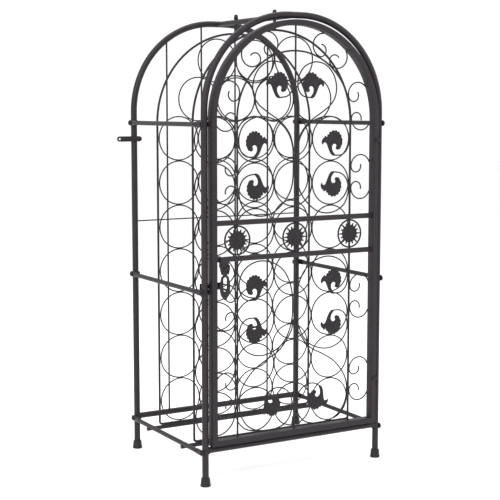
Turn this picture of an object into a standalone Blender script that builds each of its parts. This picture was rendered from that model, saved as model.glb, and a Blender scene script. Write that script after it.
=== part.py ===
"""Lockable wrought-iron wine rack: two arched tube frames, ring grids that hold the bottles,
and an arched, scrolled door with a hasp. Metres, +Z up, door facing -Y, origin on the floor."""

import math

import bmesh
import bpy
from mathutils import Matrix, Vector

# ---- fits ----
GAP = 0.0003                # between pieces that touch
HOLE_PLAY = 0.0003          # round a bolt

# ---- arched tube frames ----
POST_X = 0.219              # post axis from the middle
POST_Y = 0.170              # frame plane from the middle
POST_R = 0.007
POST_WALL = 0.0012
ARCH_TOP_Z = 0.986          # tube axis at the crown
ARCH_BEND_R = 0.203
ARCH_BEND_STEPS = 10

# ---- foot caps ----
CAP_FLOOR = 0.003
CAP_HEIGHT = 0.018
CAP_TOP_R = 0.0092
CAP_FOOT_R = 0.011
CAP_RIM = 0.0025

# ---- side rails, ridge and their bolts ----
RAIL_R = 0.005
RIDGE_R = 0.006
FLAT_THICK = 0.003
FLAT_HEIGHT = 0.013
FLAT_LENGTH = 0.020
FLAT_TAPER = 0.016
FLAT_OVERHANG = 0.008       # past the post axis
RAIL_Z = {"upper": 0.7584, "middle": 0.4122, "lower": 0.0724}
BOLT_R = 0.003
BOLT_HEAD_R = 0.0055
BOLT_HEAD = 0.004
BOLT_NUT = 0.0023

# ---- bottom rails and crossbars ----
BOTTOM_RAIL_R = 0.0068
BOTTOM_RAIL_Z = 0.0764
CROSSBAR_R = 0.0045
CROSSBAR_Z = 0.066

# ---- ring grids ----
GRID_Y = 0.085              # each grid's plane from the middle
GRID_WIRE_R = 0.0025
RING_R = 0.0487             # ring wire's centre line
RING_WIRE_R = 0.0015
RING_PITCH_X = 0.0988
RING_PITCH_Z = 0.0996
RING_COLUMNS = 4
RING_ROWS = 7
ARCH_ROWS = (3, 2)          # rings in the staggered rows under the crown
CORNER_R = 0.006
STUD_R = 0.0035
CAP_NUT_R = 0.005
CAP_NUT = 0.0112

# ---- rear wire panel ----
PANEL_WIRE_R = 0.002
PANEL_CROSS_R = 0.0015
PANEL_X = (-0.135, -0.045, 0.045, 0.135)
PANEL_CROSS_Z = 0.534

# ---- wall bracket ----
BRACKET_Z = 0.722
BRACKET_REACH = 0.046       # past the rear left post's axis
BRACKET_TAIL = 0.015
BRACKET_HEIGHT = 0.012
BRACKET_THICK = 0.0025
BRACKET_HOLE_R = 0.0027
BRACKET_HOLE_EDGE = 0.005   # hole axis from the strap's free end
BRACKET_SCREW_R = 0.002

# ---- door ----
DOOR_PROUD = 0.005          # the door tube's plane in front of the posts'
DOOR_TUBE = 0.012           # tube seen from the front
DOOR_DEPTH = 0.020          # and from the side
DOOR_GAP = 0.0035           # between a stile and its post
DOOR_TOP_GAP = 0.0045       # and under the crown
DOOR_BOTTOM_Z = 0.0907
DOOR_CORNER_R = 0.012
DOOR_RAIL_R = 0.0057
DOOR_RAIL_BACK = 0.002      # behind the door tube's plane
DOOR_RAIL_Z = {"lower": 0.479, "upper": 0.5547}
WIRE_BACK = 0.004           # the wire work behind the door tube's plane
WIRE_R = 0.0015
SPINE_R = 0.002
INNER_ARCH_R = 0.142
INNER_ARCH_Z = 0.770
CURL_OUTER_R = 0.025
CURL_INNER_R = 0.013
CURL_BITE = 0.001
MEDALLION_WIRE_R = 0.0015
SUN_CORE_R = 0.0190
SUN_LONG_R = 0.0272
SUN_SHORT_R = 0.0243
SUN_POINTS = 16
SUN_BOSS = 0.005
CAST_THICK = 0.0034

# ---- hinges ----
HINGE_OUT = 0.0005          # pin axis past the post's inner side
HINGE_PROUD = 0.0065        # and in front of the post
HINGE_Z = {"lower": 0.182, "upper": 0.716}
HINGE_R = 0.0033
HINGE_HALF = 0.011
HINGE_PIN_R = 0.0015
HINGE_LEAF = 0.010
HINGE_LEAF_THICK = 0.0018
HINGE_LUG_THICK = 0.0028

# ---- hasp and staple ----
HASP_X = -0.1785
HASP_PIVOT_Z = 0.459
HASP_THICK = 0.002
HASP_SLOT_W = 0.0085
HASP_SLOT_Z = (0.413, 0.443)
HASP_KNUCKLE_R = 0.003
HASP_PIN_R = 0.0014
HASP_EAR = 0.003
HASP_BLOCK_W = 0.020
HASP_BLOCK_THICK = 0.0041
STAPLE_Z = 0.423
STAPLE_HALF = 0.005
STAPLE_WIRE_R = 0.0016
STAPLE_REACH = 0.0118       # in front of the hasp plate
STAPLE_STRAP = 0.003
STAPLE_STRAP_H = 0.014

# ---- values that follow from those above ----
POST_BOTTOM_Z = CAP_FLOOR + GAP
ARCH_SPRING_Z = ARCH_TOP_Z - ARCH_BEND_R
FLAT_X = POST_X + POST_R + GAP + FLAT_THICK / 2
RING_REACH = RING_R + RING_WIRE_R
GRID_HALF_W = (RING_COLUMNS - 1) / 2 * RING_PITCH_X + RING_REACH + GAP + GRID_WIRE_R
GRID_BOTTOM_Z = CROSSBAR_Z + CROSSBAR_R + GAP + GRID_WIRE_R
RING_FIRST_Z = GRID_BOTTOM_Z + GRID_WIRE_R + GAP + RING_REACH
RING_LAST_Z = RING_FIRST_Z + (RING_ROWS - 1) * RING_PITCH_Z
NEST_X = RING_PITCH_X / 2
ARCH_ROW_Z = RING_LAST_Z + math.sqrt((2 * RING_REACH + GAP) ** 2 - NEST_X ** 2)
ARCH_ROW_STEP = math.sqrt(RING_PITCH_Z ** 2 - NEST_X ** 2)
TOP_RING_Z = ARCH_ROW_Z + ARCH_ROW_STEP
GRID_SPRING_Z = TOP_RING_Z - math.sqrt(
    (GRID_HALF_W - GRID_WIRE_R - GAP - RING_REACH) ** 2 - NEST_X ** 2
)
DOOR_Y = -POST_Y - DOOR_PROUD
DOOR_RAIL_Y = DOOR_Y + DOOR_RAIL_BACK
WIRE_Y = DOOR_Y + WIRE_BACK
DOOR_HALF_W = POST_X - POST_R - DOOR_GAP - DOOR_TUBE / 2  # stile axis from the middle
DOOR_SPRING_Z = ARCH_TOP_Z - POST_R - DOOR_TOP_GAP - DOOR_TUBE / 2 - DOOR_HALF_W
HINGE_X = POST_X - POST_R + HINGE_OUT
HINGE_Y = -POST_Y - POST_R - HINGE_PROUD
STILE_INSIDE_X = DOOR_HALF_W - DOOR_TUBE / 2
DOOR_RAIL_TOP = {name: z + DOOR_RAIL_R for name, z in DOOR_RAIL_Z.items()}
DOOR_RAIL_UNDER = {name: z - DOOR_RAIL_R for name, z in DOOR_RAIL_Z.items()}
MEDALLION_Z = (DOOR_RAIL_TOP["lower"] + DOOR_RAIL_UNDER["upper"]) / 2
MEDALLION_R = (
    (DOOR_RAIL_UNDER["upper"] - DOOR_RAIL_TOP["lower"]) / 2 - GAP - MEDALLION_WIRE_R
)
DOOR_SILL_Z = DOOR_BOTTOM_Z + DOOR_TUBE / 2
STAPLE_STRAP_Y = -POST_Y + POST_R + GAP + STAPLE_STRAP / 2
HASP_PIN_REACH = 0.0008     # pin axis in front of the block
HASP_Y = DOOR_RAIL_Y - DOOR_RAIL_R - HASP_BLOCK_THICK - HASP_PIN_REACH


# ---- clear the scene, make the collections and the materials ----
for old in list(bpy.data.objects):
    bpy.data.objects.remove(old, do_unlink=True)

rack = bpy.data.collections.new("wine_rack")
bpy.context.scene.collection.children.link(rack)
tools = bpy.data.collections.new("cutters")
tools.hide_render = True
bpy.context.scene.collection.children.link(tools)


def paint(name, colour, roughness, metallic):
    material = bpy.data.materials.new(name)
    material.use_nodes = True
    shader = material.node_tree.nodes["Principled BSDF"]
    shader.inputs["Base Color"].default_value = (*colour, 1.0)
    shader.inputs["Roughness"].default_value = roughness
    shader.inputs["Metallic"].default_value = metallic
    material.diffuse_color = (*colour, 1.0)
    return material


FRAME_PAINT = ("frame_paint", (0.052, 0.050, 0.054), 0.48, 0.25)
WIRE_PAINT = ("wire_paint", (0.045, 0.043, 0.046), 0.50, 0.25)
CAST_PAINT = ("cast_paint", (0.038, 0.036, 0.038), 0.58, 0.20)
BOLT_PAINT = ("bolt_paint", (0.030, 0.029, 0.031), 0.42, 0.50)
CAP_PLASTIC = ("cap_plastic", (0.020, 0.020, 0.021), 0.60, 0.0)


def finished(obj, name, look, parent=None):
    """Names the piece, gives it its own material and puts it in the rack's collection."""
    obj.name = name
    obj.data.name = name
    obj.data.materials.clear()
    obj.data.materials.append(paint(f"{name}_{look[0]}", *look[1:]))
    for collection in list(obj.users_collection):
        collection.objects.unlink(obj)
    rack.objects.link(obj)
    if parent is not None:
        obj.parent = parent
        obj.matrix_parent_inverse = parent.matrix_world.inverted()
    return obj


def mesh_object(name, mesh, matrix=None):
    obj = bpy.data.objects.new(name, mesh)
    tools.objects.link(obj)
    if matrix is not None:
        obj.matrix_world = matrix
    return obj


def baked(obj):
    """A plain mesh object of what obj evaluates to; obj is removed."""
    bpy.context.view_layer.update()
    graph = bpy.context.evaluated_depsgraph_get()
    mesh = bpy.data.meshes.new_from_object(obj.evaluated_get(graph))
    work = bmesh.new()
    work.from_mesh(mesh)
    bmesh.ops.remove_doubles(work, verts=work.verts, dist=1e-6)
    bmesh.ops.recalc_face_normals(work, faces=work.faces)
    work.to_mesh(mesh)
    work.free()
    new = mesh_object(obj.name, mesh, obj.matrix_world.copy())
    bpy.data.objects.remove(obj, do_unlink=True)
    return new


def wire(points, radius, sides=4, cyclic=False, filled=True, turn=0.0):
    """A bar of this radius along the points, as a mesh; sides is 4, 6, 8 or 10."""
    curve = bpy.data.curves.new("wire", "CURVE")
    curve.dimensions = "3D"
    curve.bevel_depth = radius
    curve.bevel_resolution = (sides - 4) // 2
    curve.use_fill_caps = filled
    curve.twist_mode = "MINIMUM"
    spline = curve.splines.new("POLY")
    spline.points.add(len(points) - 1)
    for point, place in zip(spline.points, points):
        point.co = (*place, 1.0)
        point.tilt = turn
    spline.use_cyclic_u = cyclic
    return baked(mesh_object("wire", curve))


def box(low, high):
    mesh = bpy.data.meshes.new("box")
    work = bmesh.new()
    bmesh.ops.create_cube(work, size=1.0)
    size = Vector(high) - Vector(low)
    middle = (Vector(high) + Vector(low)) / 2
    bmesh.ops.transform(
        work, matrix=Matrix.Translation(middle) @ Matrix.Diagonal((*size, 1.0)), verts=work.verts
    )
    work.to_mesh(mesh)
    work.free()
    return mesh_object("box", mesh)


def rod(start, end, radius, sides=8):
    """A straight round bar from start to end."""
    start, end = Vector(start), Vector(end)
    mesh = bpy.data.meshes.new("rod")
    work = bmesh.new()
    bmesh.ops.create_cone(
        work, cap_ends=True, segments=sides, radius1=radius, radius2=radius,
        depth=(end - start).length,
    )
    spin = (end - start).to_track_quat("Z", "Y").to_matrix().to_4x4()
    bmesh.ops.transform(
        work, matrix=Matrix.Translation((start + end) / 2) @ spin, verts=work.verts
    )
    work.to_mesh(mesh)
    work.free()
    return mesh_object("rod", mesh)


def turned(profile, steps, matrix):
    """A turned piece: the profile (radius, height) runs down its outer side, top to bottom."""
    mesh = bpy.data.meshes.new("turned")
    edges = [(i, i + 1) for i in range(len(profile) - 1)]
    mesh.from_pydata([(r, 0.0, z) for r, z in profile], edges, [])
    obj = mesh_object("turned", mesh)
    screw = obj.modifiers.new("Screw", "SCREW")
    screw.steps = steps
    screw.render_steps = steps
    screw.use_merge_vertices = True
    screw.merge_threshold = 1e-5
    screw.use_normal_calculate = True
    solid = baked(obj)
    solid.data.transform(matrix)
    return solid


def flat_plate(outline, y, thickness, holes=()):
    """A plate cut to an outline of (x, z) points, standing in the plane y."""
    curve = bpy.data.curves.new("plate", "CURVE")
    curve.dimensions = "2D"
    curve.fill_mode = "BOTH"
    curve.extrude = thickness / 2
    for loop in (outline, *holes):
        spline = curve.splines.new("POLY")
        spline.points.add(len(loop) - 1)
        for point, (x, z) in zip(spline.points, loop):
            point.co = (x, z, 0.0, 1.0)
        spline.use_cyclic_u = True
    plate = baked(mesh_object("plate", curve))
    plate.data.transform(Matrix.Translation((0, y, 0)) @ Matrix.Rotation(math.pi / 2, 4, "X"))
    return plate


def fused(pieces):
    """The pieces welded into one body."""
    first, rest = pieces[0], pieces[1:]
    group = bpy.data.collections.new("welded")
    tools.children.link(group)
    for piece in rest:
        tools.objects.unlink(piece)
        group.objects.link(piece)
    weld = first.modifiers.new("Weld", "BOOLEAN")
    weld.operation = "UNION"
    weld.operand_type = "COLLECTION"
    weld.collection = group
    weld.solver = "EXACT"
    body = baked(first)
    for piece in rest:
        bpy.data.objects.remove(piece, do_unlink=True)
    bpy.data.collections.remove(group)
    return body


def drilled(obj, cutters):
    """Cuts the cutters out of obj, with one Boolean each; the cutters stay as guides."""
    for number, cutter in enumerate(cutters):
        cutter.hide_render = True
        cutter.display_type = "WIRE"
        cutter.name = f"{obj.name}_cutter_{number}"
        bore = obj.modifiers.new(f"Bore {number}", "BOOLEAN")
        bore.operation = "DIFFERENCE"
        bore.object = cutter
        bore.solver = "EXACT"
    return obj


def mirrored(points, side):
    return [(side * x, *rest) for x, *rest in points]


def arc(centre, radius, start, end, steps):
    """Points (x, z) from angle start to end, in degrees, both ends included."""
    angles = [math.radians(start + (end - start) * i / steps) for i in range(steps + 1)]
    return [(centre[0] + radius * math.cos(a), centre[1] + radius * math.sin(a)) for a in angles]


def smooth(points, steps=2):
    """A Catmull-Rom curve through (x, z) points."""
    ends = [points[0], *points, points[-1]]
    path = []
    for before, a, b, after in zip(ends, ends[1:], ends[2:], ends[3:]):
        for i in range(steps):
            t = i / steps
            path.append(tuple(
                0.5 * (2 * a[k] + (b[k] - before[k]) * t
                       + (2 * before[k] - 5 * a[k] + 4 * b[k] - after[k]) * t ** 2
                       + (3 * a[k] - before[k] - 3 * b[k] + after[k]) * t ** 3)
                for k in (0, 1)
            ))
    return path + [points[-1]]


def at_y(points, y):
    return [(x, y, z) for x, z in points]


# ---- arched tube frames: one bent tube each, open at the feet, bored for the rail bolts ----
def arch_line(half_w, bend_r, spring_z, foot_z, steps):
    flat = half_w - bend_r
    left = arc((-flat, spring_z), bend_r, 180, 90, steps)
    right = arc((flat, spring_z), bend_r, 90, 0, steps)
    if flat < 1e-6:
        left = left[:-1]
    return [(-half_w, foot_z), *left, *right, (half_w, foot_z)]


def bolt_bore(x, y, z):
    reach = 3 * POST_R
    return rod((x - reach, y, z), (x + reach, y, z), BOLT_R + HOLE_PLAY)


for end, y in (("front", -POST_Y), ("rear", POST_Y)):
    line = arch_line(POST_X, ARCH_BEND_R, ARCH_SPRING_Z, POST_BOTTOM_Z, ARCH_BEND_STEPS)
    tube = wire(at_y(line, y), POST_R, sides=8, filled=False)
    wall = tube.modifiers.new("Wall", "SOLIDIFY")
    wall.thickness = POST_WALL
    wall.offset = -1.0
    frame = finished(baked(tube), f"{end}_arch_frame", FRAME_PAINT)
    cutters = [bolt_bore(side * POST_X, y, z) for side in (-1, 1) for z in RAIL_Z.values()]
    if end == "rear":
        reach = 3 * POST_R
        cutters.append(rod(
            (-POST_X, y - reach, BRACKET_Z), (-POST_X, y + reach, BRACKET_Z),
            BRACKET_SCREW_R + HOLE_PLAY,
        ))
    drilled(frame, cutters)

# ---- foot caps: moulded cups that the posts stand in ----
CAP_PROFILE = [
    (0.0, CAP_FLOOR),
    (POST_R + GAP, CAP_FLOOR),
    (POST_R + GAP, CAP_HEIGHT),
    (CAP_TOP_R, CAP_HEIGHT),
    (CAP_FOOT_R, CAP_RIM),
    (CAP_FOOT_R, 0.0),
    (0.0, 0.0),
]
for end, y in (("front", -POST_Y), ("rear", POST_Y)):
    for hand, x in (("left", -POST_X), ("right", POST_X)):
        cap = turned(CAP_PROFILE, 12, Matrix.Translation((x, y, 0)))
        finished(cap, f"foot_cap_{end}_{hand}", CAP_PLASTIC)


# ---- side rails: tubes with flattened, bored ends lapped on the arched frames ----
def flat_ended_tube(radius):
    """A tube along Y whose ends are pressed thin along X."""
    half = POST_Y + FLAT_OVERHANG
    flat = (FLAT_THICK / 2, FLAT_HEIGHT / 2)
    stations = [
        (-half, *flat),
        (-half + FLAT_LENGTH, *flat),
        (-half + FLAT_LENGTH + FLAT_TAPER, radius, radius),
        (half - FLAT_LENGTH - FLAT_TAPER, radius, radius),
        (half - FLAT_LENGTH, *flat),
        (half, *flat),
    ]
    sides = 10
    work = bmesh.new()
    loops = []
    for y, thin, wide in stations:
        loop = []
        for i in range(sides):
            a = 2 * math.pi * i / sides
            # pressed ends keep flat faces, so their corners follow a squarer curve
            power = 0.35 if thin < radius else 1.0
            u = math.copysign(abs(math.cos(a)) ** power, math.cos(a)) * thin
            v = math.sin(a) * wide
            loop.append(work.verts.new((u, y, v)))
        loops.append(loop)
    for a, b in zip(loops, loops[1:]):
        for i in range(sides):
            j = (i + 1) % sides
            work.faces.new((a[i], a[j], b[j], b[i]))
    work.faces.new(loops[0])
    work.faces.new(loops[-1])
    bmesh.ops.recalc_face_normals(work, faces=work.faces)
    mesh = bpy.data.meshes.new("flat_ended_tube")
    work.to_mesh(mesh)
    work.free()
    return mesh_object("flat_ended_tube", mesh)


for hand, side in (("left", -1), ("right", 1)):
    for level, z in RAIL_Z.items():
        rail = flat_ended_tube(RAIL_R)
        rail.data.transform(Matrix.Translation((side * FLAT_X, 0, z)))
        finished(rail, f"{hand}_{level}_side_rail", FRAME_PAINT)
        drilled(rail, [bolt_bore(side * FLAT_X, y, z) for y in (-POST_Y, POST_Y)])

# ---- ridge: a bar between the two crowns, bored for the grids' studs ----
ridge_half = POST_Y - POST_R - GAP
ridge = rod((0, -ridge_half, ARCH_TOP_Z), (0, ridge_half, ARCH_TOP_Z), RIDGE_R)
finished(ridge, "ridge_tube", FRAME_PAINT)
drilled(ridge, [
    rod((0, y, ARCH_TOP_Z - 3 * RIDGE_R), (0, y, ARCH_TOP_Z + 3 * RIDGE_R), STUD_R + HOLE_PLAY)
    for y in (-GRID_Y, GRID_Y)
])

# ---- rail bolts: hexagon head outside, nut inside the frame ----
BOLT_GRIP = FLAT_THICK + GAP + 2 * POST_R
BOLT_PROFILE = [
    (0.0, GAP + BOLT_HEAD),
    (BOLT_HEAD_R * 0.75, GAP + BOLT_HEAD),
    (BOLT_HEAD_R, GAP + BOLT_HEAD * 0.6),
    (BOLT_HEAD_R, GAP),
    (BOLT_R, GAP),
    (BOLT_R, -BOLT_GRIP - GAP),
    (BOLT_HEAD_R * 0.9, -BOLT_GRIP - GAP),
    (BOLT_HEAD_R * 0.9, -BOLT_GRIP - GAP - BOLT_NUT),
    (0.0, -BOLT_GRIP - GAP - BOLT_NUT),
]
for hand, side in (("left", -1), ("right", 1)):
    for end, y in (("front", -POST_Y), ("rear", POST_Y)):
        for level, z in RAIL_Z.items():
            place = Matrix.Translation((side * (FLAT_X + FLAT_THICK / 2), y, z))
            spin = Matrix.Rotation(side * math.pi / 2, 4, "Y")
            bolt = turned(BOLT_PROFILE, 6, place @ spin)
            finished(bolt, f"rail_bolt_{end}_{hand}_{level}", BOLT_PAINT)


# ---- bottom rails: bars coped to the posts, with a seat for each lower bolt's nut ----
def coped(bar, y):
    reach = 4 * BOTTOM_RAIL_R
    seat = POST_R + 2 * GAP + BOLT_NUT + HOLE_PLAY
    cutters = []
    for side in (-1, 1):
        x = side * POST_X
        cutters.append(rod(
            (x, y, BOTTOM_RAIL_Z - reach), (x, y, BOTTOM_RAIL_Z + reach), POST_R + GAP, sides=16
        ))
        cutters.append(rod(
            (x, y, RAIL_Z["lower"]), (x - side * seat, y, RAIL_Z["lower"]),
            BOLT_HEAD_R + HOLE_PLAY,
        ))
    return drilled(bar, cutters)


for end, y in (("front", -POST_Y), ("rear", POST_Y)):
    tube = rod((-POST_X, y, BOTTOM_RAIL_Z), (POST_X, y, BOTTOM_RAIL_Z), BOTTOM_RAIL_R)
    coped(finished(tube, f"{end}_bottom_rail", FRAME_PAINT), y)

# ---- ring grids: crossbar, arched outer wire with a stud to the ridge, and welded rings ----
CROSSBAR_HALF = FLAT_X - RAIL_R - GAP
NUT_SEAT_Z = ARCH_TOP_Z + RIDGE_R + GAP
STUD_TOP_Z = NUT_SEAT_Z + CAP_NUT * 0.6
CAP_NUT_PROFILE = [
    (0.0, CAP_NUT),
    (CAP_NUT_R * 0.55, CAP_NUT * 0.94),
    (CAP_NUT_R * 0.9, CAP_NUT * 0.7),
    (CAP_NUT_R * 0.9, CAP_NUT * 0.5),
    (CAP_NUT_R, CAP_NUT * 0.45),
    (CAP_NUT_R, 0.0),
    (STUD_R + HOLE_PLAY, 0.0),
    (STUD_R + HOLE_PLAY, CAP_NUT * 0.7),
    (0.0, CAP_NUT * 0.7),
]


def ring(x, y, z):
    bpy.ops.mesh.primitive_torus_add(
        major_segments=12, minor_segments=4, major_radius=RING_R, minor_radius=RING_WIRE_R,
        location=(x, y, z), rotation=(math.pi / 2, 0, 0),
    )
    obj = bpy.context.object
    for collection in list(obj.users_collection):
        collection.objects.unlink(obj)
    tools.objects.link(obj)
    return obj


def grid_outline():
    """The outer wire's closed line: round bottom corners and a half-round top."""
    inner = GRID_HALF_W - CORNER_R
    bottom = GRID_BOTTOM_Z + CORNER_R
    return [
        *arc((-inner, bottom), CORNER_R, 270, 180, 3),
        *arc((0, GRID_SPRING_Z), GRID_HALF_W, 180, 0, 20),
        *arc((inner, bottom), CORNER_R, 360, 270, 3),
    ]


for end, y in (("front", -GRID_Y), ("rear", GRID_Y)):
    bar = rod((-CROSSBAR_HALF, y, CROSSBAR_Z), (CROSSBAR_HALF, y, CROSSBAR_Z), CROSSBAR_R)
    finished(bar, f"{end}_grid_crossbar", FRAME_PAINT)

    crown = GRID_SPRING_Z + GRID_HALF_W
    outer = fused([
        wire(at_y(grid_outline(), y), GRID_WIRE_R, sides=6, cyclic=True),
        rod((0, y, crown - GRID_WIRE_R / 2), (0, y, STUD_TOP_Z), STUD_R),
    ])
    finished(outer, f"{end}_grid_arch_wire", WIRE_PAINT)
    nut = turned(CAP_NUT_PROFILE, 8, Matrix.Translation((0, y, NUT_SEAT_Z)))
    finished(nut, f"{end}_ridge_nut", BOLT_PAINT)

    columns = [(i - (RING_COLUMNS - 1) / 2) * RING_PITCH_X for i in range(RING_COLUMNS)]
    rows = [RING_FIRST_Z + j * RING_PITCH_Z for j in range(RING_ROWS)]
    panel = fused([ring(x, y, z) for z in rows for x in columns])
    finished(panel, f"{end}_ring_panel", WIRE_PAINT)

    crown_rings = []
    for row, count in enumerate(ARCH_ROWS):
        for i in range(count):
            x = (i - (count - 1) / 2) * RING_PITCH_X
            crown_rings.append(ring(x, y, ARCH_ROW_Z + row * ARCH_ROW_STEP))
    finished(fused(crown_rings), f"{end}_arch_rings", WIRE_PAINT)

# ---- rear wire panel: four uprights and one cross wire inside the rear frame ----
def under_arch(x):
    """Height of the frame tube's underside above x; the bend is a row of straight chords."""
    run = max(abs(x) - (POST_X - ARCH_BEND_R), 0.0)
    half_step = math.pi / 4 / ARCH_BEND_STEPS
    reach = ARCH_BEND_R * math.cos(half_step) - POST_R - GAP
    heights = [ARCH_BEND_R - POST_R - GAP]
    for i in range(ARCH_BEND_STEPS):
        a = (2 * i + 1) * half_step
        heights.append((reach - run * math.cos(a)) / math.sin(a))
    return ARCH_SPRING_Z + min(heights)


uprights = [
    rod(
        (x, POST_Y, BOTTOM_RAIL_Z + BOTTOM_RAIL_R + GAP),
        (x, POST_Y, under_arch(abs(x) + PANEL_WIRE_R)), PANEL_WIRE_R, sides=6,
    )
    for x in PANEL_X
]
cross_half = POST_X - POST_R - GAP
cross = rod((-cross_half, POST_Y, PANEL_CROSS_Z), (cross_half, POST_Y, PANEL_CROSS_Z),
            PANEL_CROSS_R, sides=6)
finished(fused([cross, *uprights]), "rear_wire_panel", WIRE_PAINT)

# ---- wall bracket: a strap screwed across the rear left post, bored for a wall screw ----
bracket_y = POST_Y - POST_R - GAP - BRACKET_THICK / 2
strap = finished(
    box(
        (-POST_X - BRACKET_REACH, bracket_y - BRACKET_THICK / 2, BRACKET_Z - BRACKET_HEIGHT / 2),
        (-POST_X + BRACKET_TAIL, bracket_y + BRACKET_THICK / 2, BRACKET_Z + BRACKET_HEIGHT / 2),
    ),
    "wall_bracket", FRAME_PAINT,
)
bores = []
free_hole_x = -POST_X - BRACKET_REACH + BRACKET_HOLE_EDGE
for x, r in ((-POST_X, BRACKET_SCREW_R + HOLE_PLAY), (free_hole_x, BRACKET_HOLE_R)):
    bores.append(rod((x, bracket_y - 0.01, BRACKET_Z), (x, bracket_y + 0.01, BRACKET_Z), r))
drilled(strap, bores)

screw_grip = BRACKET_THICK + GAP + 2 * POST_R
SCREW_PROFILE = [
    (0.0, GAP + 0.002),
    (0.0026, GAP + 0.002),
    (0.0042, GAP),
    (BRACKET_SCREW_R, GAP),
    (BRACKET_SCREW_R, -screw_grip - GAP),
    (0.0040, -screw_grip - GAP),
    (0.0040, -screw_grip - GAP - 0.0025),
    (0.0, -screw_grip - GAP - 0.0025),
]
screw_place = Matrix.Translation((-POST_X, bracket_y - BRACKET_THICK / 2, BRACKET_Z))
bracket_screw = turned(SCREW_PROFILE, 6, screw_place @ Matrix.Rotation(math.pi / 2, 4, "X"))
finished(bracket_screw, "bracket_screw", BOLT_PAINT)

# ---- door: everything on it hangs from an empty on the hinge axis ----
door_pivot = bpy.data.objects.new("door_pivot", None)
door_pivot.location = (HINGE_X, HINGE_Y, 0)
rack.objects.link(door_pivot)
bpy.context.view_layer.update()


def door_outline():
    """The square tube's closed line: two stiles, a half-round head and a sill."""
    inner = DOOR_HALF_W - DOOR_CORNER_R
    bottom = DOOR_BOTTOM_Z + DOOR_CORNER_R
    return [
        *arc((-inner, bottom), DOOR_CORNER_R, 270, 180, 4),
        *arc((0, DOOR_SPRING_Z), DOOR_HALF_W, 180, 0, 28),
        *arc((inner, bottom), DOOR_CORNER_R, 360, 270, 4),
    ]


door_tube = wire(
    at_y(door_outline(), 0), DOOR_TUBE / math.sqrt(2), sides=4, cyclic=True, turn=math.pi / 4
)
deepen = Matrix.Diagonal((1, DOOR_DEPTH / DOOR_TUBE, 1, 1))
door_tube.data.transform(Matrix.Translation((0, DOOR_Y, 0)) @ deepen)
finished(door_tube, "door_frame", FRAME_PAINT, door_pivot)

rail_half = STILE_INSIDE_X - GAP
upper_rail = rod(
    (-rail_half, DOOR_RAIL_Y, DOOR_RAIL_Z["upper"]),
    (rail_half, DOOR_RAIL_Y, DOOR_RAIL_Z["upper"]),
    DOOR_RAIL_R,
)
finished(upper_rail, "door_upper_rail", FRAME_PAINT, door_pivot)

# the lower rail carries the hasp's block, its two ears and its pin
block_front = HASP_Y + HASP_PIN_REACH
block_back = DOOR_RAIL_Y - DOOR_RAIL_R / 2
half_block = HASP_BLOCK_W / 2
pieces = [
    rod(
        (-rail_half, DOOR_RAIL_Y, DOOR_RAIL_Z["lower"]),
        (rail_half, DOOR_RAIL_Y, DOOR_RAIL_Z["lower"]),
        DOOR_RAIL_R,
    ),
    box(
        (HASP_X - half_block, block_front, HASP_PIVOT_Z + 0.0045),
        (HASP_X + half_block, block_back, DOOR_RAIL_TOP["lower"]),
    ),
]
for side in (-1, 1):
    edge = HASP_X + side * half_block
    inside = edge - side * HASP_EAR
    pieces.append(box(
        (min(edge, inside), HASP_Y - 0.003, HASP_PIVOT_Z - 0.003),
        (max(edge, inside), HASP_Y + 0.003, HASP_PIVOT_Z + 0.0065),
    ))
pieces.append(rod(
    (HASP_X - half_block + 0.001, HASP_Y, HASP_PIVOT_Z),
    (HASP_X + half_block - 0.001, HASP_Y, HASP_PIVOT_Z), HASP_PIN_R,
))
finished(fused(pieces), "door_lower_rail", FRAME_PAINT, door_pivot)


# ---- medallions: a spoked sun cast inside a ring, held between the two rails ----
def sun_outline(x, z):
    """Points alternate between spikes and notches; the four main spikes reach the ring."""
    points = []
    for i in range(2 * SUN_POINTS):
        a = math.pi * i / SUN_POINTS
        if i % (SUN_POINTS // 2) == 0:
            r = MEDALLION_R
        elif i % 4 == 2:
            r = SUN_LONG_R
        elif i % 2 == 0:
            r = SUN_SHORT_R
        else:
            r = SUN_CORE_R
        points.append((x + r * math.cos(a), z + r * math.sin(a)))
    return points


for name, x in (("left", -INNER_ARCH_R), ("centre", 0.0), ("right", INNER_ARCH_R)):
    line = arc((x, MEDALLION_Z), MEDALLION_R, 0, 360, 16)[:-1]
    medallion = fused([
        wire(at_y(line, WIRE_Y), MEDALLION_WIRE_R, sides=4, cyclic=True),
        flat_plate(sun_outline(x, MEDALLION_Z), WIRE_Y, CAST_THICK * 0.8),
        rod((x, WIRE_Y - SUN_BOSS / 2, MEDALLION_Z), (x, WIRE_Y + SUN_BOSS / 2, MEDALLION_Z),
            SUN_CORE_R * 0.8, sides=12),
    ])
    finished(medallion, f"medallion_{name}", CAST_PAINT, door_pivot)


# ---- edge curls: a wide arc to the stile that rolls up into a tight one at the spine ----
def inside_door(x, z):
    limit = STILE_INSIDE_X - GAP - WIRE_R
    if z <= DOOR_SPRING_Z:
        return x < limit
    return math.hypot(x, z - DOOR_SPRING_Z) < limit


def curl(touch, out_angle, way, reach=1.0):
    """Touches the spine at touch; out_angle points to the stile; way is +1 or -1 along the spine."""
    a = math.radians(out_angle)
    out = Vector((math.cos(a), math.sin(a)))
    along = Vector((-math.sin(a), math.cos(a))) * way
    wide = []
    for degrees in range(0, 160, 20):
        t = math.radians(degrees)
        offset = CURL_OUTER_R * ((1 - math.cos(t)) * out + math.sin(t) * along)
        point = (touch[0] + offset.x, touch[1] + offset.y)
        if degrees > 60 and (point[0] > reach or not inside_door(*point)):
            break
        wide.append(point)
    tight = []
    for degrees in range(25, 215, 25):
        t = math.radians(degrees)
        offset = CURL_INNER_R * ((1 - math.cos(t)) * out - math.sin(t) * along)
        tight.append((touch[0] + offset.x, touch[1] + offset.y))
    return wide[::-1] + tight


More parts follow.
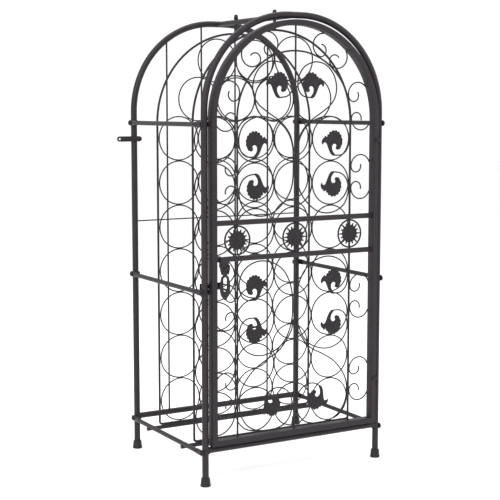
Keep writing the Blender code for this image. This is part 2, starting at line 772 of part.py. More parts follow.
def curl_bars(places, side):
    return [
        wire(at_y(mirrored(curl(*place), side), WIRE_Y), WIRE_R) for place in places
    ]


SPINE_FACE = INNER_ARCH_R + SPINE_R + WIRE_R - CURL_BITE
ARCH_CURLS = []
for degrees, way in ((66, 1), (51, -1), (18, 1)):
    a = math.radians(degrees)
    touch = (SPINE_FACE * math.cos(a), INNER_ARCH_Z + SPINE_FACE * math.sin(a))
    ARCH_CURLS.append((touch, degrees, way))
UPPER_CURLS = [((SPINE_FACE, z), 0, way) for z, way in ((0.769, -1), (0.665, 1), (0.618, -1))]
LOWER_CURLS = [
    ((SPINE_FACE, z), 0, way)
    for z, way in ((0.400, 1), (0.3525, -1), (0.2125, 1), (0.1645, -1))
]
STAPLE_CLEAR_X = -HASP_X - STAPLE_WIRE_R - 3 * WIRE_R   # the curl beside the staple stops short

# ---- spines: an inner arch above the rails, uprights below them ----
spine_foot = DOOR_RAIL_TOP["upper"] + GAP
crown_z = DOOR_SPRING_Z + STILE_INSIDE_X - GAP
inner_arch = [
    (-INNER_ARCH_R, spine_foot),
    *arc((0, INNER_ARCH_Z), INNER_ARCH_R, 180, 0, 16),
    (INNER_ARCH_R, spine_foot),
]
pieces = [
    wire(at_y(inner_arch, WIRE_Y), SPINE_R),
    rod((0, WIRE_Y, spine_foot), (0, WIRE_Y, crown_z), SPINE_R, sides=6),
]
for side in (-1, 1):
    pieces += curl_bars(ARCH_CURLS + UPPER_CURLS, side)
finished(fused(pieces), "inner_arch_wire", WIRE_PAINT, door_pivot)

sill, head = DOOR_SILL_Z + GAP, DOOR_RAIL_UNDER["lower"] - GAP
for hand, side in (("left", -1), ("right", 1)):
    x = side * INNER_ARCH_R
    upright = rod((x, WIRE_Y, sill), (x, WIRE_Y, head), SPINE_R, sides=6)
    curls = list(LOWER_CURLS)
    if hand == "left":
        curls[0] = (*curls[0], STAPLE_CLEAR_X)
    spine = fused([upright, *curl_bars(curls, side)])
    finished(spine, f"lower_{hand}_spine", WIRE_PAINT, door_pivot)
centre = rod((0, WIRE_Y, sill), (0, WIRE_Y, head), SPINE_R, sides=6)
finished(centre, "lower_centre_spine", WIRE_PAINT, door_pivot)


# ---- scrollwork: long S scrolls that each end in a cast acanthus leaf ----
LEAF_CENTRE = (0.0, 30.0)    # of its toothed rim; the leaf is drawn in mm about its foot
LEAF_RIM = (20.6, 23.4)
LEAF_TEETH = 8
TOOTH_DEPTH = 0.09
LEAF_BACK = [(0.4, -1.6), (-8.4, 2.4), (-13.0, 9.6), (-17.0, 18.8), (-21.6, 26.8)]
LEAF_FIN = [(-27.2, 27.2), (-30.5, 23.4), (-33.0, 29.0), (-28.4, 37.8), (-23.6, 42.0)]
LEAF_HOOK = [
    (9.2, 11.6), (5.2, 13.0), (4.0, 16.4), (5.8, 20.8), (2.6, 24.0), (-2.6, 23.4), (-5.8, 17.0),
    (-4.4, 9.6), (2.0, 1.6),
]


def leaf_outline(foot, across, up):
    """An acanthus leaf on a scroll's end at foot; across and up are +1 or -1 and mirror it."""
    rim = []
    for i in range(2 * LEAF_TEETH + 1):
        a = math.radians(156 - 204 * i / (2 * LEAF_TEETH))
        r = 1.0 - TOOTH_DEPTH * (i % 2)
        rim.append((
            LEAF_CENTRE[0] + LEAF_RIM[0] * r * math.cos(a),
            LEAF_CENTRE[1] + LEAF_RIM[1] * r * math.sin(a),
        ))
    outline = [*LEAF_BACK, *LEAF_FIN, *rim, *LEAF_HOOK]
    return [(foot[0] + across * x * MM, foot[1] + up * z * MM) for x, z in outline]


MITRE = 0.001                           # room for the corners of a bent wire
MID_X = SPINE_R + WIRE_R + GAP + MITRE  # closest a scroll comes to the centre spine
SIDE_X = INNER_ARCH_R - MID_X           # and to the outer ones
MM = 0.001


def scroll(points):
    """Points in mm, held between the centre spine and the inner arch."""
    held = []
    for x, z in smooth([(x * MM, z * MM) for x, z in points]):
        rise = max(z - INNER_ARCH_Z, 0.0)
        shrink = min(SIDE_X / math.hypot(x, rise), 1.0)
        held.append((max(x * shrink, MID_X), z - rise * (1 - shrink)))
    return held


HEART = [
    (35, 815), (19, 817), (9, 828), (6, 845), (11, 864), (26, 882), (51, 890), (77, 884),
    (97, 865), (104, 840), (101, 816), (89, 798), (67, 782), (42, 767), (24, 751), (12, 733),
    (5, 712), (3, 700),
]
SIDE_SCROLL = [
    (100, 690), (118, 690), (131, 699), (138, 716), (138, 735), (127, 757), (108, 770),
    (86, 774), (63, 770), (42, 761), (25, 747), (13, 729), (5, 706), (3, 680), (3, 650),
    (8, 624), (20, 602), (37, 584), (58, 571), (82, 566), (106, 569), (125, 581), (136, 600),
    (138, 621), (130, 640), (116, 650), (97, 654),
]
LONG_SCROLL_HALF = [
    (98, 387), (118, 388), (131, 397), (138, 412), (138, 430), (128, 450), (110, 464),
    (86, 469), (60, 465), (38, 454), (22, 438), (11, 417), (4, 392), (3, 367),
]
LONG_SCROLL_MID = 367
LOW_HEART = [
    (3, 335), (6, 318), (15, 297), (30, 278), (48, 265), (72, 252), (98, 238), (119, 219),
    (132, 198), (138, 176), (138, 155), (131, 135), (117, 117), (97, 105), (73, 101),
    (48, 101), (26, 108), (12, 124), (6, 144), (8, 163), (17, 180), (32, 190), (47, 192),
    (60, 185),
]
turned_back = [(x, 2 * LONG_SCROLL_MID - z) for x, z in LONG_SCROLL_HALF[-2::-1]]
LONG_SCROLL = LONG_SCROLL_HALF + turned_back

for hand, side in (("left", -1), ("right", 1)):
    sets = {
        "upper": (
            (HEART, SIDE_SCROLL),
            (((35, 815), -1, 1), ((100, 690), 1, 1), ((97, 654), 1, -1)),
        ),
        "lower": (
            (LONG_SCROLL, LOW_HEART),
            (((98, 387), 1, 1), ((98, 347), 1, -1), ((60, 185), -1, -1)),
        ),
    }
    for level, (lines, leaves) in sets.items():
        pieces = [
            wire(at_y(mirrored(scroll(line), side), WIRE_Y), WIRE_R) for line in lines
        ]
        for (x, z), across, up in leaves:
            outline = leaf_outline((x * MM, z * MM), across, up)
            pieces.append(flat_plate(mirrored(outline, side), WIRE_Y, CAST_THICK))
        finished(fused(pieces), f"{level}_{hand}_scrollwork", CAST_PAINT, door_pivot)

# ---- hinges: a pin on a lug at the post, a bored barrel and leaf on the stile ----
to_post = Vector((POST_X - HINGE_X, -POST_Y - HINGE_Y, 0))
lug_length = to_post.length - POST_R - GAP
lug_spin = Matrix.Rotation(math.atan2(to_post.y, to_post.x), 4, "Z")
for level, z in HINGE_Z.items():
    axis = Vector((HINGE_X, HINGE_Y, z))
    lug = box(
        (0, -HINGE_LUG_THICK / 2, -HINGE_HALF + 0.001),
        (lug_length, HINGE_LUG_THICK / 2, -0.001),
    )
    lug.data.transform(Matrix.Translation(axis) @ lug_spin)
    pin_half = fused([
        rod(axis - Vector((0, 0, HINGE_HALF)), axis - Vector((0, 0, GAP)), HINGE_R),
        lug,
        rod(axis - Vector((0, 0, 0.002)), axis + Vector((0, 0, HINGE_HALF * 0.8)), HINGE_PIN_R),
    ])
    finished(pin_half, f"hinge_pin_{level}", BOLT_PAINT)

    leaf_back = DOOR_Y - DOOR_DEPTH / 2 - GAP
    barrel = fused([
        rod(axis + Vector((0, 0, GAP)), axis + Vector((0, 0, HINGE_HALF)), HINGE_R),
        box(
            (DOOR_HALF_W + DOOR_TUBE / 2 - HINGE_LEAF, leaf_back - HINGE_LEAF_THICK, z + 0.001),
            (HINGE_X - HINGE_PIN_R, leaf_back, z + HINGE_HALF - 0.001),
        ),
    ])
    finished(barrel, f"hinge_barrel_{level}", BOLT_PAINT, door_pivot)
    drilled(barrel, [
        rod(axis - Vector((0, 0, 0.01)), axis + Vector((0, 0, 0.02)), HINGE_PIN_R + HOLE_PLAY)
    ])

# ---- staple: a strap behind the left stile that carries the padlock's eye through the hasp ----
strap_end = POST_X + POST_R
eye_tip = HASP_Y - STAPLE_REACH
eye = [(STAPLE_STRAP_Y, STAPLE_Z - STAPLE_HALF)]
eye += arc((eye_tip + STAPLE_HALF, STAPLE_Z), STAPLE_HALF, 270, 90, 6)
eye += [(STAPLE_STRAP_Y, STAPLE_Z + STAPLE_HALF)]
staple = fused([
    box(
        (-strap_end, STAPLE_STRAP_Y - STAPLE_STRAP / 2, STAPLE_Z - STAPLE_STRAP_H / 2),
        (HASP_X + 0.006, STAPLE_STRAP_Y + STAPLE_STRAP / 2, STAPLE_Z + STAPLE_STRAP_H / 2),
    ),
    wire([(HASP_X, y, z) for y, z in eye], STAPLE_WIRE_R),
])
finished(staple, "padlock_staple", BOLT_PAINT)

# ---- hasp: a slotted plate that hangs from the pin under the lower rail ----
hasp_pivot = bpy.data.objects.new("hasp_pivot", None)
hasp_pivot.location = (HASP_X, HASP_Y, HASP_PIVOT_Z)
rack.objects.link(hasp_pivot)
bpy.context.view_layer.update()

HASP_HALF = [
    (0.0055, 0.4585), (0.0058, 0.4530), (0.0050, 0.4475), (0.0088, 0.4440), (0.0112, 0.4350),
    (0.0122, 0.4210), (0.0112, 0.4090), (0.0070, 0.4010), (0.0, 0.3940),
]
right_edge = [(HASP_X + x, z) for x, z in HASP_HALF]
left_edge = [(HASP_X - x, z) for x, z in HASP_HALF[-2::-1]]
slot_r = HASP_SLOT_W / 2
slot = (
    arc((HASP_X, HASP_SLOT_Z[1] - slot_r), slot_r, 0, 180, 6)
    + arc((HASP_X, HASP_SLOT_Z[0] + slot_r), slot_r, 180, 360, 6)
)
knuckle_half = HASP_BLOCK_W / 2 - HASP_EAR - GAP
plate = fused([
    flat_plate(right_edge + left_edge, HASP_Y, HASP_THICK, holes=[slot]),
    rod((HASP_X - knuckle_half, HASP_Y, HASP_PIVOT_Z), (HASP_X + knuckle_half, HASP_Y, HASP_PIVOT_Z),
        HASP_KNUCKLE_R),
])
finished(plate, "hasp_plate", FRAME_PAINT, hasp_pivot)
hasp_pivot.parent = door_pivot
hasp_pivot.matrix_parent_inverse = door_pivot.matrix_world.inverted()
drilled(plate, [
    rod((HASP_X - HASP_BLOCK_W, HASP_Y, HASP_PIVOT_Z), (HASP_X + HASP_BLOCK_W, HASP_Y, HASP_PIVOT_Z),
        HASP_PIN_R + HOLE_PLAY)
])

# ---- the rack stands with the middle of its whole outline over the origin ----
rack_origin = bpy.data.objects.new("rack_origin", None)
rack.objects.link(rack_origin)
bpy.context.view_layer.update()
for obj in (*rack.objects, *tools.objects):
    if obj.parent is None and obj is not rack_origin:
        obj.parent = rack_origin
left_edge_x = -POST_X - BRACKET_REACH
right_edge_x = FLAT_X + FLAT_THICK / 2 + GAP + BOLT_HEAD
front_edge_y = eye_tip - STAPLE_WIRE_R
rear_edge_y = POST_Y + CAP_FOOT_R
rack_origin.location = (-(left_edge_x + right_edge_x) / 2, -(front_edge_y + rear_edge_y) / 2, 0)

# ---- round pieces are shaded smooth up to the angle of their real edges ----
for obj in rack.objects:
    if obj.type == "MESH":
        obj.data.shade_smooth()
        obj.data.set_sharp_from_angle(angle=math.radians(50))
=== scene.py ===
import math

import bmesh
import bpy
import numpy as np
from mathutils import Matrix, Vector
from mathutils.geometry import delaunay_2d_cdt


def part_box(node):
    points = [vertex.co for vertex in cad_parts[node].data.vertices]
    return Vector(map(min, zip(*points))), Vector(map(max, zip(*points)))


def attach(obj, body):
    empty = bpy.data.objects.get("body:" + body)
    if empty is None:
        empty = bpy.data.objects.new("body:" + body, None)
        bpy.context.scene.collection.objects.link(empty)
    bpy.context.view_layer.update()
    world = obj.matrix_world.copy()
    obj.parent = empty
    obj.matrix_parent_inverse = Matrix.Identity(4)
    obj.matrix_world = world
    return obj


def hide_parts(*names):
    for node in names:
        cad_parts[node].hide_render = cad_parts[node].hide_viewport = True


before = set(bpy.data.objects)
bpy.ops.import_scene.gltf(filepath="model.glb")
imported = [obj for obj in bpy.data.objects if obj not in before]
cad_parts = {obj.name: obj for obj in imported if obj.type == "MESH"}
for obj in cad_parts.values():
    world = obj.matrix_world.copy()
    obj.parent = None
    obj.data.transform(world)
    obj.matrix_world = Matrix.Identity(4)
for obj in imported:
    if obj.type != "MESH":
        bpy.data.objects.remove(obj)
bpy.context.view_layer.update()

# ---- Studio ----
# A pale floor that runs off to white, under three wide soft boxes: a key, a side light and one
# overhead. The camera stands in front of the hasp side, a little below the crown of the arch.
scene = bpy.context.scene
scene.view_settings.view_transform = "Standard"
scene.view_settings.look = "None"

front_low, front_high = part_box("front_arch_frame")
_, rear_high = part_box("rear_arch_frame")
middle_x, middle_y = (front_low.x + front_high.x) / 2, (front_low.y + rear_high.y) / 2
HOME = Matrix.Translation((middle_x, middle_y, 0.0))    # every piece is drawn about the posts' middle

CAMERA_AT = Vector((-1.3947, -2.3866, 0.7935))
CAMERA_YAW = 0.5250
CAMERA_PITCH = -0.1161
eye = bpy.data.cameras.new("camera")
eye.lens = 88.18
eye.sensor_width = 36.0
eye.clip_start = 0.05
camera = bpy.data.objects.new("camera", eye)
camera.location = HOME @ CAMERA_AT
camera.rotation_euler = (math.pi / 2 + CAMERA_PITCH, 0.0, -CAMERA_YAW)
scene.collection.objects.link(camera)
scene.camera = camera

world = bpy.data.worlds.new("white room")
world.use_nodes = True
wall = world.node_tree.nodes["Background"]
wall.inputs["Color"].default_value = (1.0, 1.0, 1.0, 1.0)
wall.inputs["Strength"].default_value = 1.06
scene.world = world

floor_paint = bpy.data.materials.new("studio_floor")
floor_paint.use_nodes = True
shader = floor_paint.node_tree.nodes["Principled BSDF"]
shader.inputs["Base Color"].default_value = (0.94, 0.94, 0.94, 1.0)
shader.inputs["Roughness"].default_value = 0.9
floor_mesh = bpy.data.meshes.new("studio_floor")
FLOOR_HALF = 12.0
floor_mesh.from_pydata(
    [(x * FLOOR_HALF, y * FLOOR_HALF, 0.0) for x, y in ((-1, -1), (1, -1), (1, 1), (-1, 1))],
    [], [(0, 1, 2, 3)],
)
floor_mesh.materials.append(floor_paint)
floor = bpy.data.objects.new("studio_floor", floor_mesh)
scene.collection.objects.link(floor)

LIT_SPOT = Vector((0, 0, 0.45))
SOFT_BOXES = (
    ("key", (-2.6, -2.2, 2.6), 1.8, 85.0),
    ("side", (2.8, -1.2, 1.6), 1.6, 26.0),
    ("top", (0.2, 0.6, 3.2), 2.4, 40.0),
)
for name, place, size, power in SOFT_BOXES:
    light = bpy.data.lights.new(name, "AREA")
    light.shape = "SQUARE"
    light.size = size
    light.energy = power
    lamp = bpy.data.objects.new(name, light)
    lamp.location = place
    lamp.rotation_euler = (LIT_SPOT - Vector(place)).to_track_quat("-Z", "Y").to_euler()
    scene.collection.objects.link(lamp)

# ---- Arched tube frames ----
# Two lengths of 14 mm steel tube, each bent into one arch in two pulls with a short flat crown,
# and coated in matt anthracite powder. The legs are cut square and stand in plastic caps.
POST_X = 0.219
POST_Y = 0.170
POST_R = 0.007
ARCH_TOP_Z = 0.986
ARCH_BEND_R = 0.203
POST_BOTTOM_Z = 0.0033
POWDER_TONE = (0.0185, 0.0145, 0.0185)


def node(tree, kind, settings=(), **inputs):
    """A node with its inputs set to plain values, or linked from another node's output."""
    made = tree.nodes.new(kind)
    for key, value in dict(settings).items():
        setattr(made, key, value)
    for key, value in inputs.items():
        socket = made.inputs[key.replace("_", " ")]
        if isinstance(value, bpy.types.NodeSocket):
            tree.links.new(value, socket)
        else:
            socket.default_value = value
    return made


def powder_coat(name, tone, roughness=0.44, peel=0.25):
    """Powder coat: an orange-peel surface whose colour and gloss drift a little along a bar."""
    material = bpy.data.materials.new(name)
    material.use_nodes = True
    tree = material.node_tree
    shader = tree.nodes["Principled BSDF"]
    shader.inputs["Metallic"].default_value = 0.0
    shader.inputs["Specular IOR Level"].default_value = 0.24
    place = tree.nodes.new("ShaderNodeTexCoord").outputs["Object"]

    drift = node(tree, "ShaderNodeTexNoise", Vector=place, Scale=28.0, Detail=5.0).outputs["Fac"]
    colour = node(tree, "ShaderNodeValToRGB", Fac=drift)
    for stop, position, share in zip(colour.color_ramp.elements, (0.30, 0.72), (0.90, 1.12)):
        stop.position = position
        stop.color = (*(c * share for c in tone), 1.0)

    # specks of uncovered flake in the powder, well under a millimetre
    speck = node(tree, "ShaderNodeTexVoronoi", Vector=place, Scale=1500.0).outputs["Distance"]
    fleck = node(tree, "ShaderNodeMapRange", Value=speck, From_Min=0.16, From_Max=0.10, To_Max=0.25)
    mix = node(tree, "ShaderNodeMix", {"data_type": "RGBA"})
    mix.inputs[7].default_value = (*(min(c * 2.6, 1.0) for c in tone), 1.0)
    tree.links.new(fleck.outputs["Result"], mix.inputs[0])
    tree.links.new(colour.outputs["Color"], mix.inputs[6])
    tree.links.new(mix.outputs[2], shader.inputs["Base Color"])

    gloss = node(
        tree, "ShaderNodeMapRange", Value=drift, To_Min=roughness - 0.07, To_Max=roughness + 0.09
    )
    tree.links.new(gloss.outputs["Result"], shader.inputs["Roughness"])
    grain = node(tree, "ShaderNodeTexNoise", Vector=place, Scale=950.0, Detail=3.0)
    bump = node(
        tree, "ShaderNodeBump", Strength=peel, Distance=0.0003, Height=grain.outputs["Fac"]
    )
    tree.links.new(bump.outputs["Normal"], shader.inputs["Normal"])
    return material


def evaluated_mesh(obj):
    """The plain mesh of what obj evaluates to; obj is removed."""
    bpy.context.view_layer.update()
    graph = bpy.context.evaluated_depsgraph_get()
    mesh = bpy.data.meshes.new_from_object(obj.evaluated_get(graph))
    bpy.data.objects.remove(obj, do_unlink=True)
    return mesh


def scene_object(name, data):
    obj = bpy.data.objects.new(name, data)
    scene.collection.objects.link(obj)
    return obj


def bar(points, radius, closed=False, fineness=4):
    """A round bar bent along the points."""
    curve = bpy.data.curves.new("bar", "CURVE")
    curve.dimensions = "3D"
    curve.bevel_depth = radius
    curve.bevel_resolution = fineness
    curve.use_fill_caps = True
    curve.twist_mode = "MINIMUM"
    spline = curve.splines.new("POLY")
    spline.points.add(len(points) - 1)
    for point, place in zip(spline.points, points):
        point.co = (*place, 1.0)
    spline.use_cyclic_u = closed
    return evaluated_mesh(scene_object("bar", curve))


def plain_mesh(work):
    mesh = bpy.data.meshes.new("part")
    work.to_mesh(mesh)
    work.free()
    return mesh


def welded(meshes):
    """The meshes gathered in one."""
    work = bmesh.new()
    for mesh in meshes:
        work.from_mesh(mesh)
    return plain_mesh(work)


def piece(name, mesh, material, body, nodes, crease=40.0):
    """Puts a finished mesh in its place on a body, standing for its CAD nodes."""
    work = bmesh.new()
    work.from_mesh(mesh)
    bmesh.ops.remove_doubles(work, verts=work.verts, dist=2e-6)
    bmesh.ops.recalc_face_normals(work, faces=work.faces)
    work.transform(HOME)
    work.to_mesh(mesh)
    work.free()
    mesh.name = name
    mesh.shade_smooth()
    mesh.set_sharp_from_angle(angle=math.radians(crease))
    mesh.materials.clear()
    mesh.materials.append(material)
    obj = scene_object(name, mesh)
    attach(obj, body)
    if nodes:
        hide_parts(*nodes)


def arc(centre, radius, start, end, steps):
    """Points (x, z) from angle start to end, in degrees, both ends included."""
    angles = [math.radians(start + (end - start) * i / steps) for i in range(steps + 1)]
    return [(centre[0] + radius * math.cos(a), centre[1] + radius * math.sin(a)) for a in angles]


def at_y(points, y):
    return [(x, y, z) for x, z in points]


frame_coat = powder_coat("frame_powder_coat", POWDER_TONE)
arch_flat = POST_X - ARCH_BEND_R
arch_spring_z = ARCH_TOP_Z - ARCH_BEND_R
arch_line = [
    (-POST_X, POST_BOTTOM_Z),
    *arc((-arch_flat, arch_spring_z), ARCH_BEND_R, 180, 90, 36),
    *arc((arch_flat, arch_spring_z), ARCH_BEND_R, 90, 0, 36),
    (POST_X, POST_BOTTOM_Z),
]
for end, y in (("front", -POST_Y), ("rear", POST_Y)):
    tube = bar(at_y(arch_line, y), POST_R, fineness=10)
    piece(f"{end}_arch", tube, frame_coat, "rack", [f"{end}_arch_frame"])

# ---- Foot caps ----
# Moulded black plastic cups pushed on the four legs: a flared skirt, a rounded rim where the
# tube goes in, and a slight lip that meets the floor.
CAP_FOOT_R = 0.011
CAP_TOP_R = 0.0092
CAP_HEIGHT = 0.018
CAP_MOUTH_R = POST_R + 0.0002
CAP_MOUTH_DEEP = 0.004
cap_plastic = powder_coat("cap_plastic_grain", (0.015, 0.0148, 0.0155), roughness=0.52, peel=0.12)


def turned(profile, steps=40):
    """A turned mesh about Z from a profile of (radius, height)."""
    work = bmesh.new()
    line = [work.verts.new((r, 0.0, z)) for r, z in profile]
    edges = [work.edges.new(pair) for pair in zip(line, line[1:])]
    bmesh.ops.spin(
        work, geom=line + edges, cent=(0, 0, 0), axis=(0, 0, 1), angle=2 * math.pi, steps=steps,
        use_merge=True,
    )
    bmesh.ops.remove_doubles(work, verts=work.verts, dist=1e-6)
    bmesh.ops.recalc_face_normals(work, faces=work.faces)
    return plain_mesh(work)


def moved(mesh, matrix):
    mesh = mesh.copy()
    mesh.transform(matrix)
    return mesh


CAP_PROFILE = [
    (0.0, 0.0), (CAP_FOOT_R - 0.0008, 0.0), (CAP_FOOT_R - 0.0002, 0.0003), (CAP_FOOT_R, 0.0009),
    (CAP_FOOT_R, 0.0026), (CAP_FOOT_R - 0.0003, 0.0034), (CAP_FOOT_R - 0.0006, 0.0042),
    (CAP_TOP_R + 0.0001, CAP_HEIGHT - 0.0012), (CAP_TOP_R - 0.0003, CAP_HEIGHT - 0.0003),
    (CAP_TOP_R - 0.0009, CAP_HEIGHT), (CAP_MOUTH_R + 0.0005, CAP_HEIGHT),
    (CAP_MOUTH_R, CAP_HEIGHT - 0.0006), (CAP_MOUTH_R, CAP_HEIGHT - CAP_MOUTH_DEEP),
    (0.0, CAP_HEIGHT - CAP_MOUTH_DEEP),
]
for end, y in (("front", -POST_Y), ("rear", POST_Y)):
    for hand, x in (("left", -POST_X), ("right", POST_X)):
        cap = moved(turned(CAP_PROFILE), Matrix.Translation((x, y, 0)))
        name = f"foot_cap_{end}_{hand}"
        piece(f"{name}_moulded", cap, cap_plastic, "rack", [name])

# ---- Side rails ----
# Six 10 mm tubes that tie the two arches together. Each end is pressed flat in a die, rounded
# off, bored and bolted against the outside of the post.
RAIL_Z = {"upper": 0.7584, "middle": 0.4122, "lower": 0.0724}
RAIL_R = 0.005
RAIL_X = 0.2278
RAIL_HALF = 0.178
PRESSED_THICK = 0.0015
PRESSED_HIGH = 0.0064
PRESSED_LENGTH = 0.019
PRESS_TAPER = 0.017
ROUNDED_END = 0.0055
PRESSED_CORNER = 0.35    # 1 is a round section, less is squarer
TUBE_SIDES = 24


def lofted(work, loops):
    """Skins each loop of corners to the next."""
    for a, b in zip(loops, loops[1:]):
        for i in range(len(a)):
            j = (i + 1) % len(a)
            work.faces.new((a[i], a[j], b[j], b[i]))


def pressed_tube():
    """The tube along Y, round in the middle and flat at both ends."""
    half = [(ROUNDED_END * share, 0.0) for share in (0.0, 0.15, 0.5, 1.0)]
    half.append((PRESSED_LENGTH, 0.0))
    half += [(PRESSED_LENGTH + PRESS_TAPER * i / 8, i / 8) for i in range(1, 9)]
    sections = []
    for run, roundness in half:
        ease = roundness * roundness * (3 - 2 * roundness)
        thin = PRESSED_THICK + (RAIL_R - PRESSED_THICK) * ease
        high = PRESSED_HIGH + (RAIL_R - PRESSED_HIGH) * ease
        if run < ROUNDED_END:
            back = 1 - run / ROUNDED_END
            high *= math.sqrt(1 - back * back * 0.72)
        squareness = PRESSED_CORNER + (1 - PRESSED_CORNER) * ease
        sections.append((run, thin, high, squareness))
    sections = [(-RAIL_HALF + run, *rest) for run, *rest in sections] + [
        (RAIL_HALF - run, *rest) for run, *rest in reversed(sections)
    ]
    work = bmesh.new()
    loops = []
    for y, thin, high, squareness in sections:
        loop = []
        for i in range(TUBE_SIDES):
            a = 2 * math.pi * i / TUBE_SIDES
            u = math.copysign(abs(math.cos(a)) ** squareness, math.cos(a)) * thin
            loop.append(work.verts.new((u, y, math.sin(a) * high)))
        loops.append(loop)
    lofted(work, loops)
    work.faces.new(loops[0])
    work.faces.new(loops[-1])
    return plain_mesh(work)


for hand, side in (("left", -1), ("right", 1)):
    for level, z in RAIL_Z.items():
        rail = moved(pressed_tube(), Matrix.Translation((side * RAIL_X, 0, z)))
        name = f"{hand}_{level}_side_rail"
        piece(f"{name}_tube", rail, frame_coat, "rack", [name])

# ---- Rail bolts ----
# Twelve black M6 bolts with low dome heads outside, and a thin nut inside each post. One head,
# washer, shank and nut is grown on every bolt position and turned to face out.
BOLT_FACE_X = 0.2296
bolt_black = powder_coat("bolt_black_oxide", (0.0110, 0.0092, 0.0112), roughness=0.36, peel=0.06)


def growth(name, sizes):
    """A Geometry Nodes tree that takes points and has the sizes as its named inputs."""
    tree = bpy.data.node_groups.new(name, "GeometryNodeTree")
    tree.interface.new_socket("Points", in_out="INPUT", socket_type="NodeSocketGeometry")
    kinds = {int: "Int", float: "Float", bpy.types.Material: "Material"}
    for label, value in sizes.items():
        tree.interface.new_socket(label, in_out="INPUT", socket_type=f"NodeSocket{kinds[type(value)]}")
    tree.interface.new_socket("Geometry", in_out="OUTPUT", socket_type="NodeSocketGeometry")
    return tree, tree.nodes.new("NodeGroupInput"), tree.nodes.new("NodeGroupOutput")


def combined(tree, x=0.0, y=0.0, z=0.0):
    return node(tree, "ShaderNodeCombineXYZ", X=x, Y=y, Z=z).outputs["Vector"]


def reckoned(tree, operation, a, b):
    """The operation on a and b, where either may be a number or an output."""
    made = tree.nodes.new("ShaderNodeMath")
    made.operation = operation
    for socket, value in zip(made.inputs, (a, b)):
        if isinstance(value, bpy.types.NodeSocket):
            tree.links.new(value, socket)
        else:
            socket.default_value = value
    return made.outputs[0]


def grown_on(tree, given, result, shape, **turn_and_scale):
    """Ends a tree: the shape on every point, made real, with its material."""
    placed = node(
        tree, "GeometryNodeInstanceOnPoints", Points=given.outputs["Points"], Instance=shape,
        **turn_and_scale,
    )
    real = node(tree, "GeometryNodeRealizeInstances", Geometry=placed.outputs["Instances"])
    coated = node(
        tree, "GeometryNodeSetMaterial", Geometry=real.outputs["Geometry"],
        Material=given.outputs["Finish"],
    )
    tree.links.new(coated.outputs["Geometry"], result.inputs["Geometry"])


def growth_mesh(tree, sizes, points):
    """The plain mesh that the tree makes on the points."""
    seeds = bpy.data.meshes.new("points")
    seeds.from_pydata(points, [], [])
    holder = scene_object("points", seeds)
    modifier = holder.modifiers.new(tree.name, "NODES")
    modifier.node_group = tree
    for item in tree.interface.items_tree:
        if item.in_out == "INPUT" and item.name in sizes:
            modifier[item.identifier] = sizes[item.name]
    return evaluated_mesh(holder)


bolt_sizes = {
    "Head radius": 0.0055, "Head height": 0.0036, "Shank radius": 0.003, "Grip": 0.0178,
    "Nut radius": 0.0054, "Nut height": 0.0023, "Washer height": 0.0007, "Finish": bolt_black,
}
WASHER_X = 0.0004
bolts, given, result = growth("Rail bolts", bolt_sizes)
out = given.outputs
dome = node(bolts, "GeometryNodeMeshUVSphere", Segments=24, Rings=14, Radius=out["Head radius"])
squash = combined(bolts, reckoned(bolts, "DIVIDE", out["Head height"], out["Head radius"]), 1.0, 1.0)
dome = node(bolts, "GeometryNodeTransform", Geometry=dome.outputs["Mesh"], Scale=squash)
whole = bolts.nodes.new("GeometryNodeJoinGeometry")
bolts.links.new(dome.outputs["Geometry"], whole.inputs[0])
for sides, radius, height, x in (
    (28, reckoned(bolts, "MULTIPLY", out["Head radius"], 0.985), out["Washer height"], WASHER_X),
    (16, out["Shank radius"], out["Grip"], reckoned(bolts, "MULTIPLY", out["Grip"], -0.5)),
    (6, out["Nut radius"], out["Nut height"], reckoned(bolts, "MULTIPLY", out["Grip"], -1.04)),
):
    rod = node(bolts, "GeometryNodeMeshCylinder", Vertices=sides, Radius=radius, Depth=height)
    rod = node(
        bolts, "GeometryNodeTransform", Geometry=rod.outputs["Mesh"], Rotation=(0, math.pi / 2, 0),
        Translation=combined(bolts, x),
    )
    bolts.links.new(rod.outputs["Geometry"], whole.inputs[0])
spot = node(bolts, "GeometryNodeInputPosition").outputs["Position"]
across = node(bolts, "ShaderNodeSeparateXYZ", Vector=spot).outputs["X"]
is_left = reckoned(bolts, "LESS_THAN", across, 0.0)
facing = combined(bolts, z=reckoned(bolts, "MULTIPLY", is_left, math.pi))
grown_on(bolts, given, result, whole.outputs[0], Rotation=facing)
bolt_spots = [
    (side * BOLT_FACE_X, y, z)
    for side in (-1, 1) for y in (-POST_Y, POST_Y) for z in RAIL_Z.values()
]
piece(
    "rail_bolts", growth_mesh(bolts, bolt_sizes, bolt_spots), bolt_black, "rack",
    [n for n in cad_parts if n.startswith("rail_bolt_")],
)

# ---- Bottom rails, crossbars and ridge ----
# Straight steel tubes butt-welded between the posts, two bars under the ring grids whose ends
# stand past the side rails, and the ridge that joins the crowns. Each joint has a rough bead.
BOTTOM_RAIL_R = 0.0068
BOTTOM_RAIL_Z = 0.0764
CROSSBAR_R = 0.0045
CROSSBAR_Z = 0.066
CROSSBAR_HALF = 0.2330
GRID_Y = 0.085
RIDGE_R = 0.006
BEAD_R = 0.0009
WELD_STEPS = 28


def straight(start, end, radius, fineness=8):
    return bar([start, end], radius, fineness=fineness)


def weld_ring(centre, axis, radius, bead):
    """A lumpy bead of weld round the end of a bar."""
    axis = Vector(axis).normalized()
    side = axis.orthogonal().normalized()
    up = axis.cross(side)
    line = []
    for i in range(WELD_STEPS):
        a = 2 * math.pi * i / WELD_STEPS
        lump = 1.0 + 0.12 * math.sin(5 * a) + 0.08 * math.sin(9 * a + 1.0)
        line.append(Vector(centre) + (side * math.cos(a) + up * math.sin(a)) * radius * lump ** 0.5)
    return bar(line, bead, closed=True, fineness=2)


